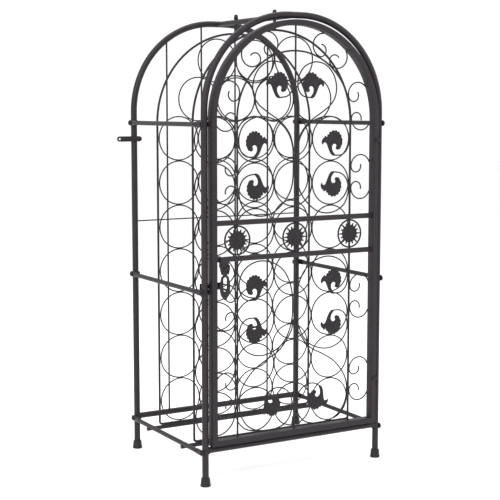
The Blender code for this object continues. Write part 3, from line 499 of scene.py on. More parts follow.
def weld_pair(middle, reach, radius, bead):
    """A bead round a bar at each side of its middle, out by the vector reach."""
    middle, reach = Vector(middle), Vector(reach)
    return [weld_ring(middle + way * reach, reach, radius, bead) for way in (-1, 1)]


post_face = POST_X - POST_R
for end, y in (("front", -POST_Y), ("rear", POST_Y)):
    rail = welded([
        straight((-POST_X, y, BOTTOM_RAIL_Z), (POST_X, y, BOTTOM_RAIL_Z), BOTTOM_RAIL_R * 0.99),
        *weld_pair((0, y, BOTTOM_RAIL_Z), (post_face + 0.0005, 0, 0), BOTTOM_RAIL_R * 0.97, BEAD_R),
    ])
    name = f"{end}_bottom_rail"
    piece(f"{name}_welded", rail, frame_coat, "rack", [name])
for end, y in (("front", -GRID_Y), ("rear", GRID_Y)):
    bars = welded([
        straight((-CROSSBAR_HALF, y, CROSSBAR_Z), (CROSSBAR_HALF, y, CROSSBAR_Z), CROSSBAR_R),
        *weld_pair((0, y, CROSSBAR_Z + 0.0004), (RAIL_X - RAIL_R, 0, 0), CROSSBAR_R * 0.95, 0.0008),
    ])
    name = f"{end}_grid_crossbar"
    piece(f"{name}_welded", bars, frame_coat, "rack", [name])
ridge_end = POST_Y - POST_R * 0.7
ridge = welded([
    straight((0, -ridge_end, ARCH_TOP_Z), (0, ridge_end, ARCH_TOP_Z), RIDGE_R),
    *weld_pair((0, 0, ARCH_TOP_Z), (0, POST_Y - POST_R + 0.0006, 0), RIDGE_R * 0.97, BEAD_R),
])
piece("ridge_welded", ridge, frame_coat, "rack", ["ridge_tube"])

# ---- Grid arch wires and ridge nuts ----
# A 5 mm wire bent into a closed arch carries each grid. A stud at its crown goes up through the
# ridge, and a domed cap nut pulls it tight.
GRID_WIRE_R = 0.0025
GRID_HALF_W = 0.2012
GRID_BOTTOM_Z = 0.0733
GRID_SPRING_Z = 0.7584
GRID_CORNER_R = 0.006
STUD_R = 0.0035
CAP_NUT_R = 0.005
CAP_NUT = 0.0112
THREAD_R = 0.00035
THREAD_PITCH = 0.0011
THREAD_TURNS = 14
THREAD_UP = 0.004
wire_coat = powder_coat("wire_powder_coat", (0.0165, 0.0130, 0.0165), roughness=0.46, peel=0.2)
inner = GRID_HALF_W - GRID_CORNER_R
grid_bottom = GRID_BOTTOM_Z + GRID_CORNER_R
grid_line = [
    *arc((-inner, grid_bottom), GRID_CORNER_R, 270, 180, 6),
    *arc((0, GRID_SPRING_Z), GRID_HALF_W, 180, 0, 72),
    *arc((inner, grid_bottom), GRID_CORNER_R, 360, 270, 6),
]
nut_seat_z = ARCH_TOP_Z + RIDGE_R + 0.0002
NUT_PROFILE = [
    (0.0, CAP_NUT), (CAP_NUT_R * 0.34, CAP_NUT * 0.985), (CAP_NUT_R * 0.62, CAP_NUT * 0.93),
    (CAP_NUT_R * 0.80, CAP_NUT * 0.84), (CAP_NUT_R * 0.88, CAP_NUT * 0.72),
    (CAP_NUT_R * 0.89, CAP_NUT * 0.54), (CAP_NUT_R * 0.98, CAP_NUT * 0.50),
    (CAP_NUT_R, CAP_NUT * 0.44), (CAP_NUT_R, CAP_NUT * 0.05), (CAP_NUT_R * 0.95, 0.0), (0.0, 0.0),
]
for end, y in (("front", -GRID_Y), ("rear", GRID_Y)):
    crown = GRID_SPRING_Z + GRID_HALF_W
    stud = straight((0, y, crown - GRID_WIRE_R), (0, y, nut_seat_z + CAP_NUT * 0.5), STUD_R)
    threads = []
    for k in range(THREAD_TURNS):
        ridge_z = crown + THREAD_UP + THREAD_PITCH * k
        turn = [(x, across, ridge_z) for x, across in arc((0, y), STUD_R, 0, 360, 20)[:-1]]
        threads.append(bar(turn, THREAD_R, closed=True, fineness=1))
    outer = welded([bar(at_y(grid_line, y), GRID_WIRE_R, closed=True, fineness=5), stud, *threads])
    piece(f"{end}_grid_arch", outer, wire_coat, "rack", [f"{end}_grid_arch_wire"])
    nut = moved(turned(NUT_PROFILE, 24), Matrix.Translation((0, y, nut_seat_z)))
    piece(f"{end}_cap_nut", nut, bolt_black, "rack", [f"{end}_ridge_nut"])

# ---- Bottle rings ----
# 3 mm wire rings, butt-welded shut and spot-welded to each other and to the arch wire: seven
# rows of four, then three and two staggered under the crown, the same in both grids.
RING_R = 0.0487
RING_WIRE_R = 0.0015
RING_PITCH_X = 0.0988
RING_PITCH_Z = 0.0996
RING_FIRST_Z = 0.1263
ARCH_ROW_Z = 0.8116
ARCH_ROW_STEP = 0.0865
TOUCHING = 0.004
FULL_TURN = 6.28
ring_sizes = {
    "Ring radius": RING_R, "Wire radius": RING_WIRE_R, "Ring steps": 56, "Finish": wire_coat,
}
rings, given, result = growth("Bottle rings", ring_sizes)
out = given.outputs
hoop = node(
    rings, "GeometryNodeCurvePrimitiveCircle", Resolution=out["Ring steps"], Radius=out["Ring radius"]
)
section = node(rings, "GeometryNodeCurvePrimitiveCircle", Resolution=10, Radius=out["Wire radius"])
hoop = node(
    rings, "GeometryNodeCurveToMesh", Curve=hoop.outputs["Curve"],
    Profile_Curve=section.outputs["Curve"],
)
hoop = node(
    rings, "GeometryNodeTransform", Geometry=hoop.outputs["Mesh"], Rotation=(math.pi / 2, 0, 0)
)
grown_on(rings, given, result, hoop.outputs["Geometry"])

RING_BEAD_R = 0.0017
bead_sizes = {"Bead radius": RING_BEAD_R, "Seed": 7, "Finish": wire_coat}
beads, given, result = growth("Weld beads", bead_sizes)
out = given.outputs
blob = node(beads, "GeometryNodeMeshIcoSphere", Radius=out["Bead radius"], Subdivisions=2)
spin = node(beads, "FunctionNodeRandomValue", {"data_type": "FLOAT_VECTOR"}, Seed=out["Seed"])
spin.inputs["Max"].default_value = (FULL_TURN, FULL_TURN, FULL_TURN)
girth = node(beads, "FunctionNodeRandomValue", {"data_type": "FLOAT_VECTOR"}, Seed=out["Seed"])
girth.inputs["Min"].default_value = (0.85, 0.7, 0.85)
girth.inputs["Max"].default_value = (1.2, 1.0, 1.2)
grown_on(
    beads, given, result, blob.outputs["Mesh"],
    Rotation=spin.outputs["Value"], Scale=girth.outputs["Value"],
)


def weld_beads(points, radius):
    return growth_mesh(beads, {**bead_sizes, "Bead radius": radius}, points)


columns = [(i - 1.5) * RING_PITCH_X for i in range(4)]
rows = [RING_FIRST_Z + i * RING_PITCH_Z for i in range(7)]
ring_spots = [(x, z) for z in rows for x in columns]
ring_spots += [(i * RING_PITCH_X, ARCH_ROW_Z) for i in (-1, 0, 1)]
ring_spots += [(i * RING_PITCH_X, ARCH_ROW_Z + ARCH_ROW_STEP) for i in (-0.5, 0.5)]
bead_spots = []
for i, a in enumerate(ring_spots):
    for b in ring_spots[i + 1:]:
        if math.dist(a, b) < RING_PITCH_Z + TOUCHING:
            bead_spots.append(((a[0] + b[0]) / 2, (a[1] + b[1]) / 2))
bead_spots += [(side * (GRID_HALF_W - GRID_WIRE_R), z) for side in (-1, 1) for z in rows]
bead_spots += [(x, GRID_BOTTOM_Z + GRID_WIRE_R) for x in columns]
for end, y in (("front", -GRID_Y), ("rear", GRID_Y)):
    hoops = growth_mesh(rings, ring_sizes, at_y(ring_spots, y))
    piece(
        f"{end}_bottle_rings", hoops, wire_coat, "rack",
        [f"{end}_ring_panel", f"{end}_arch_rings"],
    )
    lumps = weld_beads(at_y(bead_spots, y), RING_BEAD_R)
    piece(f"{end}_ring_welds", lumps, wire_coat, "rack", [])

# ---- Rear wire panel ----
# Four upright 4 mm wires and one thinner cross wire welded inside the rear arch, so that
# bottles can't be drawn out at the back.
UPRIGHT_R = 0.002
UPRIGHT_X = (-0.135, -0.045, 0.045, 0.135)
CROSS_WIRE_R = 0.0015
CROSS_WIRE_Z = 0.534
PANEL_BEAD_R = 0.0026
panel = []
panel_beads = []
for x in UPRIGHT_X:
    run = max(abs(x) - arch_flat, 0.0)
    top = arch_spring_z + math.sqrt((ARCH_BEND_R - POST_R * 0.8) ** 2 - run ** 2)
    foot = BOTTOM_RAIL_Z + BOTTOM_RAIL_R * 0.8
    panel.append(straight((x, POST_Y, foot), (x, POST_Y, top), UPRIGHT_R, 5))
    panel_beads += [(x, POST_Y, BOTTOM_RAIL_Z + BOTTOM_RAIL_R), (x, POST_Y, CROSS_WIRE_Z)]
cross_ends = [(side * post_face, POST_Y, CROSS_WIRE_Z) for side in (-1, 1)]
panel.append(straight(*cross_ends, CROSS_WIRE_R, 5))
panel.append(weld_beads(panel_beads, PANEL_BEAD_R))
piece("rear_wires", welded(panel), wire_coat, "rack", ["rear_wire_panel"])

# ---- Wall bracket ----
# A flat steel strap with rounded ends, screwed across the rear left post. The hole in its free
# end takes a screw that ties the rack to a wall.
BRACKET_Z = 0.722
BRACKET_Y = 0.16145
BRACKET_THICK = 0.0025
BRACKET_HEIGHT = 0.012
BRACKET_X = (-0.265, -0.204)
BRACKET_HOLE = (-0.2585, BRACKET_Z)
BRACKET_HOLE_R = 0.0026


def cut_plate(outline, y, thickness, holes=(), bevel=0.0003):
    """A plate cut to (x, z) outlines, standing in the plane y, with its edges broken."""
    curve = bpy.data.curves.new("plate", "CURVE")
    curve.dimensions = "2D"
    curve.fill_mode = "BOTH"
    curve.extrude = thickness / 2 - bevel
    curve.bevel_depth = bevel
    curve.bevel_resolution = 1
    curve.offset = -bevel
    for loop in (outline, *holes):
        spline = curve.splines.new("POLY")
        spline.points.add(len(loop) - 1)
        for point, (x, z) in zip(spline.points, loop):
            point.co = (x, z, 0.0, 1.0)
        spline.use_cyclic_u = True
    mesh = evaluated_mesh(scene_object("plate", curve))
    mesh.transform(Matrix.Translation((0, y, 0)) @ Matrix.Rotation(math.pi / 2, 4, "X"))
    return mesh


half = BRACKET_HEIGHT / 2
outline = (
    arc((BRACKET_X[0] + half, BRACKET_Z), half, 90, 270, 12)
    + arc((BRACKET_X[1] - half, BRACKET_Z), half, -90, 90, 12)
)
strap = cut_plate(
    outline, BRACKET_Y, BRACKET_THICK,
    holes=[arc(BRACKET_HOLE, BRACKET_HOLE_R, 360, 0, 20)[:-1]],
)
piece("wall_bracket_strap", strap, frame_coat, "rack", ["wall_bracket"])
SCREW_R = 0.0020
SCREW_HEAD_R = 0.0041
SCREW_NUT_R = 0.0040
SCREW_NUT_Z = (-0.0192, -0.0171)
SCREW_PROFILE = [
    (0.0, 0.0023), (0.0012, 0.0023), (0.0018, 0.0021), (0.0034, 0.0010), (SCREW_HEAD_R, 0.0003),
    (SCREW_HEAD_R, 0.0), (SCREW_R, 0.0), (SCREW_R, SCREW_NUT_Z[1] + 0.0001),
    (SCREW_NUT_R, SCREW_NUT_Z[1]), (SCREW_NUT_R, SCREW_NUT_Z[0]), (0.0, SCREW_NUT_Z[0]),
]
screw = moved(
    turned(SCREW_PROFILE, 24),
    Matrix.Translation((-POST_X, BRACKET_Y - BRACKET_THICK / 2 - 0.0001, BRACKET_Z))
    @ Matrix.Rotation(math.pi / 2, 4, "X"),
)
piece("bracket_screw_turned", screw, bolt_black, "rack", ["bracket_screw"])

# ---- Door frame ----
# 12 x 20 mm rectangular tube with soft edges, rolled to a half-round head. The sill is mitred to
# the stiles, and the joints are welded and dressed flush.
DOOR_TUBE = 0.012
DOOR_DEPTH = 0.020
DOOR_Y = -0.175
DOOR_HALF_W = 0.2025
DOOR_BOTTOM_Z = 0.0907
DOOR_SPRING_Z = 0.768
TUBE_EDGE_R = 0.0009


def mitred_sweep(path, section):
    """The section (out, y) carried round the closed (x, z) path, mitred where the path turns."""
    work = bmesh.new()
    loops = []
    for before, here, after in zip(path[-1:] + path[:-1], path, path[1:] + path[:1]):
        before, here, after = Vector(before), Vector(here), Vector(after)
        into, away = (here - before).normalized(), (after - here).normalized()
        along = (into + away).normalized()
        out_way = Vector((-along.y, along.x)) / along.dot(into)
        loops.append([
            work.verts.new((here.x + out_way.x * u, DOOR_Y + y, here.y + out_way.y * u))
            for u, y in section
        ])
    lofted(work, loops + loops[:1])
    return plain_mesh(work)


corner_x, corner_y = DOOR_TUBE / 2 - TUBE_EDGE_R, DOOR_DEPTH / 2 - TUBE_EDGE_R
door_section = []
for start, x, y in ((0, 1, 1), (90, -1, 1), (180, -1, -1), (270, 1, -1)):
    door_section += arc((x * corner_x, y * corner_y), TUBE_EDGE_R, start, start + 90, 5)
door_line = [
    (-DOOR_HALF_W, DOOR_BOTTOM_Z),
    *arc((0, DOOR_SPRING_Z), DOOR_HALF_W, 180, 0, 80),
    (DOOR_HALF_W, DOOR_BOTTOM_Z),
]
tube = mitred_sweep(door_line, door_section)
piece("door_tube_frame", tube, frame_coat, "door", ["door_frame"])

# ---- Door rails ----
# Two round bars welded between the stiles, which frame the band of medallions. The lower one
# carries the hasp's block, its two ears and its pin.
DOOR_RAIL_R = 0.0057
DOOR_RAIL_Y = -0.173
DOOR_RAIL_Z = {"lower": 0.479, "upper": 0.5547}
HASP_X = -0.1785
HASP_Y = -0.1836
HASP_PIVOT_Z = 0.459
BLOCK_HALF = 0.010
EAR = 0.003
CHEEK_DEPTH = 0.006
HASP_PIN_R = 0.0014
CHEEK = [
    (0.0102, 0.4680), (0.0071, 0.4680), (0.0071, 0.4488), (0.0077, 0.4486), (0.0084, 0.4510),
    (0.0092, 0.4540), (0.0101, 0.4575), (0.0106, 0.4615), (0.0106, 0.4650),
]
stile_inside = DOOR_HALF_W - DOOR_TUBE / 2


def block(low, high, edge=0.0005):
    """A rectangular block with rounded edges."""
    work = bmesh.new()
    bmesh.ops.create_cube(work, size=1.0)
    size, middle = Vector(high) - Vector(low), (Vector(high) + Vector(low)) / 2
    work.transform(Matrix.Translation(middle) @ Matrix.Diagonal((*size, 1.0)))
    bmesh.ops.bevel(work, geom=work.edges[:], offset=edge, segments=3, profile=0.5, affect="EDGES")
    return plain_mesh(work)


def across_hasp(half, radius, fineness):
    """A round bar on the hasp's axis."""
    ends = [(HASP_X + side * half, HASP_Y, HASP_PIVOT_Z) for side in (-1, 1)]
    return straight(*ends, radius, fineness)


for level, z in DOOR_RAIL_Z.items():
    parts = [
        straight((-stile_inside, DOOR_RAIL_Y, z), (stile_inside, DOOR_RAIL_Y, z), DOOR_RAIL_R, 9),
        *weld_pair((0, DOOR_RAIL_Y, z), (stile_inside - 0.0002, 0, 0), DOOR_RAIL_R * 0.97, 0.0007),
    ]
    if level == "lower":
        front, back = HASP_Y + 0.0008, DOOR_RAIL_Y - DOOR_RAIL_R / 2
        parts.append(block(
            (HASP_X - BLOCK_HALF, front, HASP_PIVOT_Z + 0.0035),
            (HASP_X + BLOCK_HALF, back, z + DOOR_RAIL_R),
        ))
        parts.append(block(
            (HASP_X - BLOCK_HALF + EAR, HASP_Y + 0.0036, HASP_PIVOT_Z - 0.0045),
            (HASP_X + BLOCK_HALF - EAR, back, HASP_PIVOT_Z + 0.0050),
        ))
        for side in (-1, 1):
            cheek = [(HASP_X + side * x, z_at) for x, z_at in CHEEK]
            parts.append(cut_plate(cheek[::side], HASP_Y, CHEEK_DEPTH, bevel=0.0005))
        parts.append(across_hasp(BLOCK_HALF - 0.001, HASP_PIN_R, 4))
    name = f"door_{level}_rail"
    piece(f"{name}_bar", welded(parts), frame_coat, "door", [name])

# ---- Medallions ----
# Three cast suns, each a domed disc cut into pointed rays, held by its four long rays in a wire
# ring between the door rails.
WIRE_Y = -0.171
MEDALLION_R = 0.02995
MEDALLION_WIRE_R = 0.0019
MEDALLION_Z = (DOOR_RAIL_Z["lower"] + DOOR_RAIL_Z["upper"]) / 2
INNER_ARCH_R = 0.142
SUN_RAYS = 16
SUN_CORE_R = 0.0190
SUN_RAY_R = 0.0243
SUN_LONG_RAY_R = 0.0272
CAST_HALF = 0.0017
CAST_EDGE = 0.38    # how thick a casting is at its edge, as a share of its middle
cast_coat = powder_coat("cast_powder_coat", (0.0135, 0.0105, 0.0135), roughness=0.50, peel=0.5)


def refined(outline, pitch):
    """The closed outline with extra points, none further apart than pitch."""
    fine = []
    for a, b in zip(outline, outline[1:] + outline[:1]):
        steps = max(1, math.ceil(math.dist(a, b) / pitch))
        fine += [(a[0] + (b[0] - a[0]) * i / steps, a[1] + (b[1] - a[1]) * i / steps)
                 for i in range(steps)]
    return fine


def edge_distance(points, outline):
    """How far each point is from the outline."""
    points = np.asarray(points)
    start = np.asarray(outline)
    run = np.roll(start, -1, axis=0) - start
    length = np.maximum((run ** 2).sum(1), 1e-18)
    offset = points[:, None, :] - start[None]
    along = np.clip((offset * run[None]).sum(2) / length[None], 0.0, 1.0)
    gap = offset - along[..., None] * run[None]
    return np.sqrt((gap ** 2).sum(2)).min(1)


def is_inside(points, outline):
    points = np.asarray(points)
    start = np.asarray(outline)
    end = np.roll(start, -1, axis=0)
    x, z = points[:, 0][:, None], points[:, 1][:, None]
    crosses = (start[None, :, 1] > z) != (end[None, :, 1] > z)
    rise = np.where(end[:, 1] == start[:, 1], 1e-12, end[:, 1] - start[:, 1])
    at = start[None, :, 0] + (z - start[None, :, 1]) / rise[None] * (end - start)[None, :, 0]
    return (crosses & (x < at)).sum(1) % 2 == 1


def casting(outline, y, half_thick, round_over, relief, pitch=0.0011):
    """A cast plate: thin at its edge, rounding over to its full thickness, shaped by relief(x, z)."""
    edge = refined(outline, pitch)
    low, high = np.min(edge, axis=0), np.max(edge, axis=0)
    xs = np.arange(low[0] + pitch / 2, high[0], pitch)
    zs = np.arange(low[1] + pitch / 2, high[1], pitch)
    grid = np.array([(x, z) for x in xs for z in zs])
    grid = grid[is_inside(grid, edge)]
    grid = grid[edge_distance(grid, edge) > pitch * 0.55]
    flat = [Vector(p) for p in edge] + [Vector(p) for p in grid]
    places, _, faces, *_ = delaunay_2d_cdt(flat, [], [list(range(len(edge)))], 1, 1e-7)
    places = np.array([tuple(p) for p in places])
    depth = np.minimum(edge_distance(places, edge) / round_over, 1.0)
    swell = CAST_EDGE + (1.0 - CAST_EDGE) * np.sqrt(1.0 - (1.0 - depth) ** 2)
    height = half_thick * swell * (1.0 + depth * relief(places[:, 0], places[:, 1]))
    work = bmesh.new()
    front, back = (
        [work.verts.new((x, y + way * h, z)) for (x, z), h in zip(places, height)] for way in (-1, 1)
    )
    uses = {}
    for face in faces:
        work.faces.new([front[i] for i in face])
        work.faces.new([back[i] for i in reversed(face)])
        for a, b in zip(face, face[1:] + face[:1]):
            uses.setdefault((min(a, b), max(a, b)), []).append((a, b))
    for a, b in (ways[0] for ways in uses.values() if len(ways) == 1):
        work.faces.new((front[b], front[a], back[a], back[b]))
    bmesh.ops.recalc_face_normals(work, faces=work.faces)
    return plain_mesh(work)


def sun_outline(x, z):
    """Rays and notches in turn; the four main rays reach the ring."""
    points = []
    gap = math.pi / SUN_RAYS
    root = SUN_CORE_R * 1.06
    for i in range(SUN_RAYS):
        tip = (MEDALLION_R, SUN_RAY_R, SUN_LONG_RAY_R, SUN_RAY_R)[i % 4]
        blunt = 0.05 if i % 4 else 0.03
        shape = ((-gap, SUN_CORE_R), (-gap / 2, root), (-blunt, tip), (blunt, tip), (gap / 2, root))
        for turn, r in shape:
            a = 2 * gap * i + turn
            points.append((x + r * math.cos(a), z + r * math.sin(a)))
    return points


for name, x in (("left", -INNER_ARCH_R), ("centre", 0.0), ("right", INNER_ARCH_R)):
    def sun_relief(px, pz, x=x):
        """A raised boss, a groove round it, and a ridge along each ray."""
        r = np.hypot(px - x, pz - MEDALLION_Z) / SUN_CORE_R
        a = np.arctan2(pz - MEDALLION_Z, px - x)
        boss = 0.75 * np.clip(1.0 - (r / 0.45) ** 2, 0.0, 1.0) ** 0.5
        groove = -0.30 * np.exp(-((r - 0.55) / 0.08) ** 2)
        rays = 0.22 * np.cos(a * SUN_RAYS) * np.clip((r - 0.6) / 0.4, 0.0, 1.0)
        return boss + groove + rays

    line = arc((x, MEDALLION_Z), MEDALLION_R, 0, 360, 56)[:-1]
    sun = casting(sun_outline(x, MEDALLION_Z), WIRE_Y, CAST_HALF * 0.85, 0.0016, sun_relief, 0.0009)
    hoop = bar(at_y(line, WIRE_Y), MEDALLION_WIRE_R, closed=True, fineness=4)
    name = f"medallion_{name}"
    piece(f"{name}_cast", welded([sun, hoop]), cast_coat, "door", [name], crease=55.0)

# ---- Spines and edge curls ----
# The door's 4 mm wires: an inner arch over the medallions, a centre wire, and two uprights
# below. Small 3 mm C-curls are welded to their outer side and run out to the door's tube.
WIRE_R = 0.0015
SPINE_R = 0.002
INNER_ARCH_Z = 0.770
UPPER_RAIL_TOP = DOOR_RAIL_Z["upper"] + DOOR_RAIL_R
CURL_OUTER_R = 0.025
CURL_INNER_R = 0.013
SPINE_BEAD_R = 0.0021
SHORT_OF_HASP = 0.170    # where the curl beside the hasp's strap is cut off
SPINE_FACE = INNER_ARCH_R + SPINE_R + WIRE_R - 0.001
SILL_Z = DOOR_BOTTOM_Z + DOOR_TUBE / 2


def meets_tube(x, z):
    """Whether a wire's centre at (x, z) has reached the door's tube."""
    limit = stile_inside + 0.0002
    if z <= DOOR_SPRING_Z:
        return x > limit
    return math.hypot(x, z - DOOR_SPRING_Z) > limit


def curl(touch, out_angle, way, reach=1.0):
    """Touches the spine at touch; out_angle points to the stile; way is +1 or -1 along the spine."""
    a = math.radians(out_angle)
    out_way = Vector((math.cos(a), math.sin(a)))
    along = Vector((-math.sin(a), math.cos(a))) * way
    wide = []
    for degrees in range(0, 165, 5):
        t = math.radians(degrees)
        offset = CURL_OUTER_R * ((1 - math.cos(t)) * out_way + math.sin(t) * along)
        spot = (touch[0] + offset.x, touch[1] + offset.y)
        wide.append(spot)
        if degrees > 60 and (spot[0] > reach or meets_tube(*spot)):
            break
    tight = []
    for degrees in range(6, 206, 8):
        t = math.radians(degrees)
        offset = CURL_INNER_R * ((1 - math.cos(t)) * out_way - math.sin(t) * along)
        tight.append((touch[0] + offset.x, touch[1] + offset.y))
    return wide[::-1] + tight


def mirrored(points, side):
    return [(side * x, z) for x, z in points]


def curl_bars(places, side):
    return [bar(at_y(mirrored(curl(*place), side), WIRE_Y), WIRE_R) for place in places]


arch_curls = []
for degrees, way in ((66, 1), (51, -1), (18, 1)):
    a = math.radians(degrees)
    touch = (SPINE_FACE * math.cos(a), INNER_ARCH_Z + SPINE_FACE * math.sin(a))
    arch_curls.append((touch, degrees, way))
UPPER_CURLS = ((0.769, -1), (0.665, 1), (0.618, -1))
LOWER_CURLS = ((0.400, 1), (0.3525, -1), (0.2125, 1), (0.1645, -1))
upper_curls = [((SPINE_FACE, z), 0, way) for z, way in UPPER_CURLS]
lower_curls = [((SPINE_FACE, z), 0, way) for z, way in LOWER_CURLS]
spine_foot = UPPER_RAIL_TOP - 0.0015
inner_arch = [
    (-INNER_ARCH_R, spine_foot),
    *arc((0, INNER_ARCH_Z), INNER_ARCH_R, 180, 0, 60),
    (INNER_ARCH_R, spine_foot),
]
parts = [
    bar(at_y(inner_arch, WIRE_Y), SPINE_R),
    straight((0, WIRE_Y, spine_foot), (0, WIRE_Y, DOOR_SPRING_Z + stile_inside), SPINE_R, 4),
]
for side in (-1, 1):
    parts += curl_bars(arch_curls + upper_curls, side)
upper_beads = [(side * (INNER_ARCH_R + SPINE_R), z) for side in (-1, 1) for z, _ in UPPER_CURLS]
upper_beads += [(side * INNER_ARCH_R, UPPER_RAIL_TOP) for side in (-1, 1)]
upper_beads += [(0.0, UPPER_RAIL_TOP), (0.0, INNER_ARCH_Z + INNER_ARCH_R)]
parts.append(weld_beads(at_y(upper_beads, WIRE_Y), SPINE_BEAD_R))
piece("inner_arch", welded(parts), wire_coat, "door", ["inner_arch_wire"])

head = DOOR_RAIL_Z["lower"] - DOOR_RAIL_R + 0.0015
for hand, side in (("left", -1), ("right", 1)):
    x = side * INNER_ARCH_R
    curls = list(lower_curls)
    if hand == "left":
        curls[0] = (*curls[0], SHORT_OF_HASP)
    parts = [straight((x, WIRE_Y, SILL_Z), (x, WIRE_Y, head), SPINE_R, 4), *curl_bars(curls, side)]
    spots = [(x, SILL_Z), (x, head)] + [(x + side * SPINE_R, z) for z, _ in LOWER_CURLS]
    parts.append(weld_beads(at_y(spots, WIRE_Y), SPINE_BEAD_R))
    name = f"lower_{hand}_spine"
    piece(f"{name}_wire", welded(parts), wire_coat, "door", [name])
centre = straight((0, WIRE_Y, SILL_Z), (0, WIRE_Y, head), SPINE_R, 4)
piece("lower_centre_wire", centre, wire_coat, "door", ["lower_centre_spine"])

# ---- Scrollwork and leaves ----
# Long 3 mm wires scrolled by hand on a jig, each end cast into an acanthus leaf: a round,
# toothed body that curls over to a hook, with a pointed fin on the other side of its neck.
MM = 0.001
LEAF_TEETH = 9
TOOTH = (0.115, 0.015, -0.015, 0.0, 0.045)    # how far each fifth of a tooth lies inside the crest
TOOTH_CREST = 1.04
SMOOTH_FROM = 0.86
SMOOTH_DROP = 0.085
RIM_CENTRE = (0.0, 30.0)
RIM_WIDE = 20.6
RIM_HIGH = 23.4
RIM_START = 156
RIM_SWEEP = 204
HOLLOW = (0.5, 20.0)


def smooth(points, steps=6):
    """A Catmull-Rom curve through (x, z) points."""
    ends = [points[0], *points, points[-1]]
    path = []
    for before, a, b, after in zip(ends, ends[1:], ends[2:], ends[3:]):
        for i in range(steps):
            t = i / steps
            path.append(tuple(
                0.5 * (2 * a[k] + (b[k] - before[k]) * t
                       + (2 * before[k] - 5 * a[k] + 4 * b[k] - after[k]) * t ** 2
                       + (3 * a[k] - before[k] - 3 * b[k] + after[k]) * t ** 3)
                for k in (0, 1)
            ))
    return path + [points[-1]]


def scroll(points):
    """Points in mm; the wire lies against the centre spine and the inner arch, not in them."""
    near, far = SPINE_R + WIRE_R - 0.0003, INNER_ARCH_R - SPINE_R - WIRE_R + 0.0003
    held = []
    for x, z in smooth([(x * MM, z * MM) for x, z in points]):
        rise = max(z - INNER_ARCH_Z, 0.0)
        shrink = min(far / math.hypot(x, rise), 1.0)
        held.append((max(x * shrink, near), z - rise * (1 - shrink)))
    return held


def leaf_outline():
    """The leaf in mm about its foot, hook to the right and fin to the left."""
    rim = []
    steps = LEAF_TEETH * len(TOOTH)
    for i in range(steps + 1):
        share, fifth = i / steps, i % len(TOOTH)
        drop = TOOTH[fifth] if fifth == 0 or share < SMOOTH_FROM else SMOOTH_DROP
        r = TOOTH_CREST - drop * min(1.0, 1.3 - share)
        a = math.radians(RIM_START - RIM_SWEEP * share)
        x, z = RIM_WIDE * r * math.cos(a), RIM_HIGH * r * math.sin(a)
        rim.append((RIM_CENTRE[0] + x, RIM_CENTRE[1] + z))
    back = smooth([
        (0.6, -1.5), (-4.2, -0.8), (-8.6, 2.6), (-13.0, 9.6), (-17.0, 18.8), (-20.2, 25.4), (-23.6, 28.0),
        (-27.4, 26.8), (-29.6, 23.0),
    ], 3)
    fin = [(-31.6, 24.8), (-32.8, 29.0), (-31.4, 33.6), (-28.6, 37.4), (-26.0, 38.6), (-24.4, 42.4),
           (-21.8, 41.0)]
    hook = smooth([
        (13.2, 13.2), (9.2, 11.5), (5.4, 13.0), (4.0, 16.4), (5.6, 20.2), (4.4, 23.2), (0.6, 24.6),
        (-3.2, 23.2), (-5.6, 19.4), (-5.8, 14.6), (-4.2, 9.6), (-1.2, 5.2), (2.4, 1.4),
    ], 3)
    return back + fin + rim + hook


LEAF = leaf_outline()


def leaf(foot, across, up, lean, side):
    """The cast leaf on a scroll's end, leant about its foot; across and up, +1 or -1, mirror it."""
    lean = math.radians(lean)

    def placed(x, z):
        x, z = x * math.cos(lean) - z * math.sin(lean), x * math.sin(lean) + z * math.cos(lean)
        return side * (foot[0] + across * x) * MM, (foot[1] + up * z) * MM

    heart = placed(*HOLLOW)

    def veins(px, pz):
        """Flutes that fan out from the hollow to the teeth, and a rib round the hollow."""
        u, v = (px - heart[0]) * side * across / MM, (pz - heart[1]) * up / MM
        r, a = np.hypot(u, v), np.arctan2(v, u)
        flutes = 0.34 * np.cos(a * 19.0) * np.clip((r - 9.0) / 14.0, 0.0, 1.0)
        rib = 0.55 * np.exp(-((r - 10.8) / 2.3) ** 2)
        return flutes + rib + 0.10

    return casting([placed(*p) for p in LEAF], WIRE_Y, CAST_HALF * 0.92, 0.0022, veins)


HEART = [
    (40, 813.5), (20, 817), (9, 828), (6, 845), (10, 862), (24, 880), (50, 889.5), (76, 884),
    (96, 865), (104.5, 840), (102, 817), (90, 799), (68, 783), (42, 767), (24, 751), (12, 733),
    (6, 712), (4.5, 700),
]
SIDE_SCROLL = [
    (100, 690), (118, 690.5), (131, 699), (137.5, 715), (137, 735), (127, 756), (108, 769),
    (86, 774), (62, 771), (42, 763), (26, 750), (14, 733), (7, 712), (5, 690), (5, 650),
    (9, 624), (20, 602), (38, 583), (58, 570), (82, 565), (106, 569), (126, 582), (136, 602),
    (137.5, 622), (130, 641), (116, 651), (98, 654),
]
LONG_SCROLL_TOP = [
    (100, 387), (118, 388), (131, 397), (137, 412), (137, 430), (128, 450), (110, 464),
    (86, 470), (60, 466), (38, 455), (22, 438), (11, 415), (6, 392), (5, 368),
]
LONG_SCROLL_MID = 368
LOW_HEART = [
    (4.5, 338), (5, 326), (10, 310), (28, 284), (46, 268), (70, 256), (100, 238), (120, 217),
    (132, 198), (137.5, 178), (137, 155), (131, 135), (118, 117), (98, 105), (74, 101),
    (48, 101.5), (26, 109), (12, 124), (6, 143), (7, 162), (16, 180), (32, 190), (48, 191.5),
    (60, 187), (66, 183),
]
long_scroll = LONG_SCROLL_TOP + [(x, 2 * LONG_SCROLL_MID - z) for x, z in LONG_SCROLL_TOP[-2::-1]]
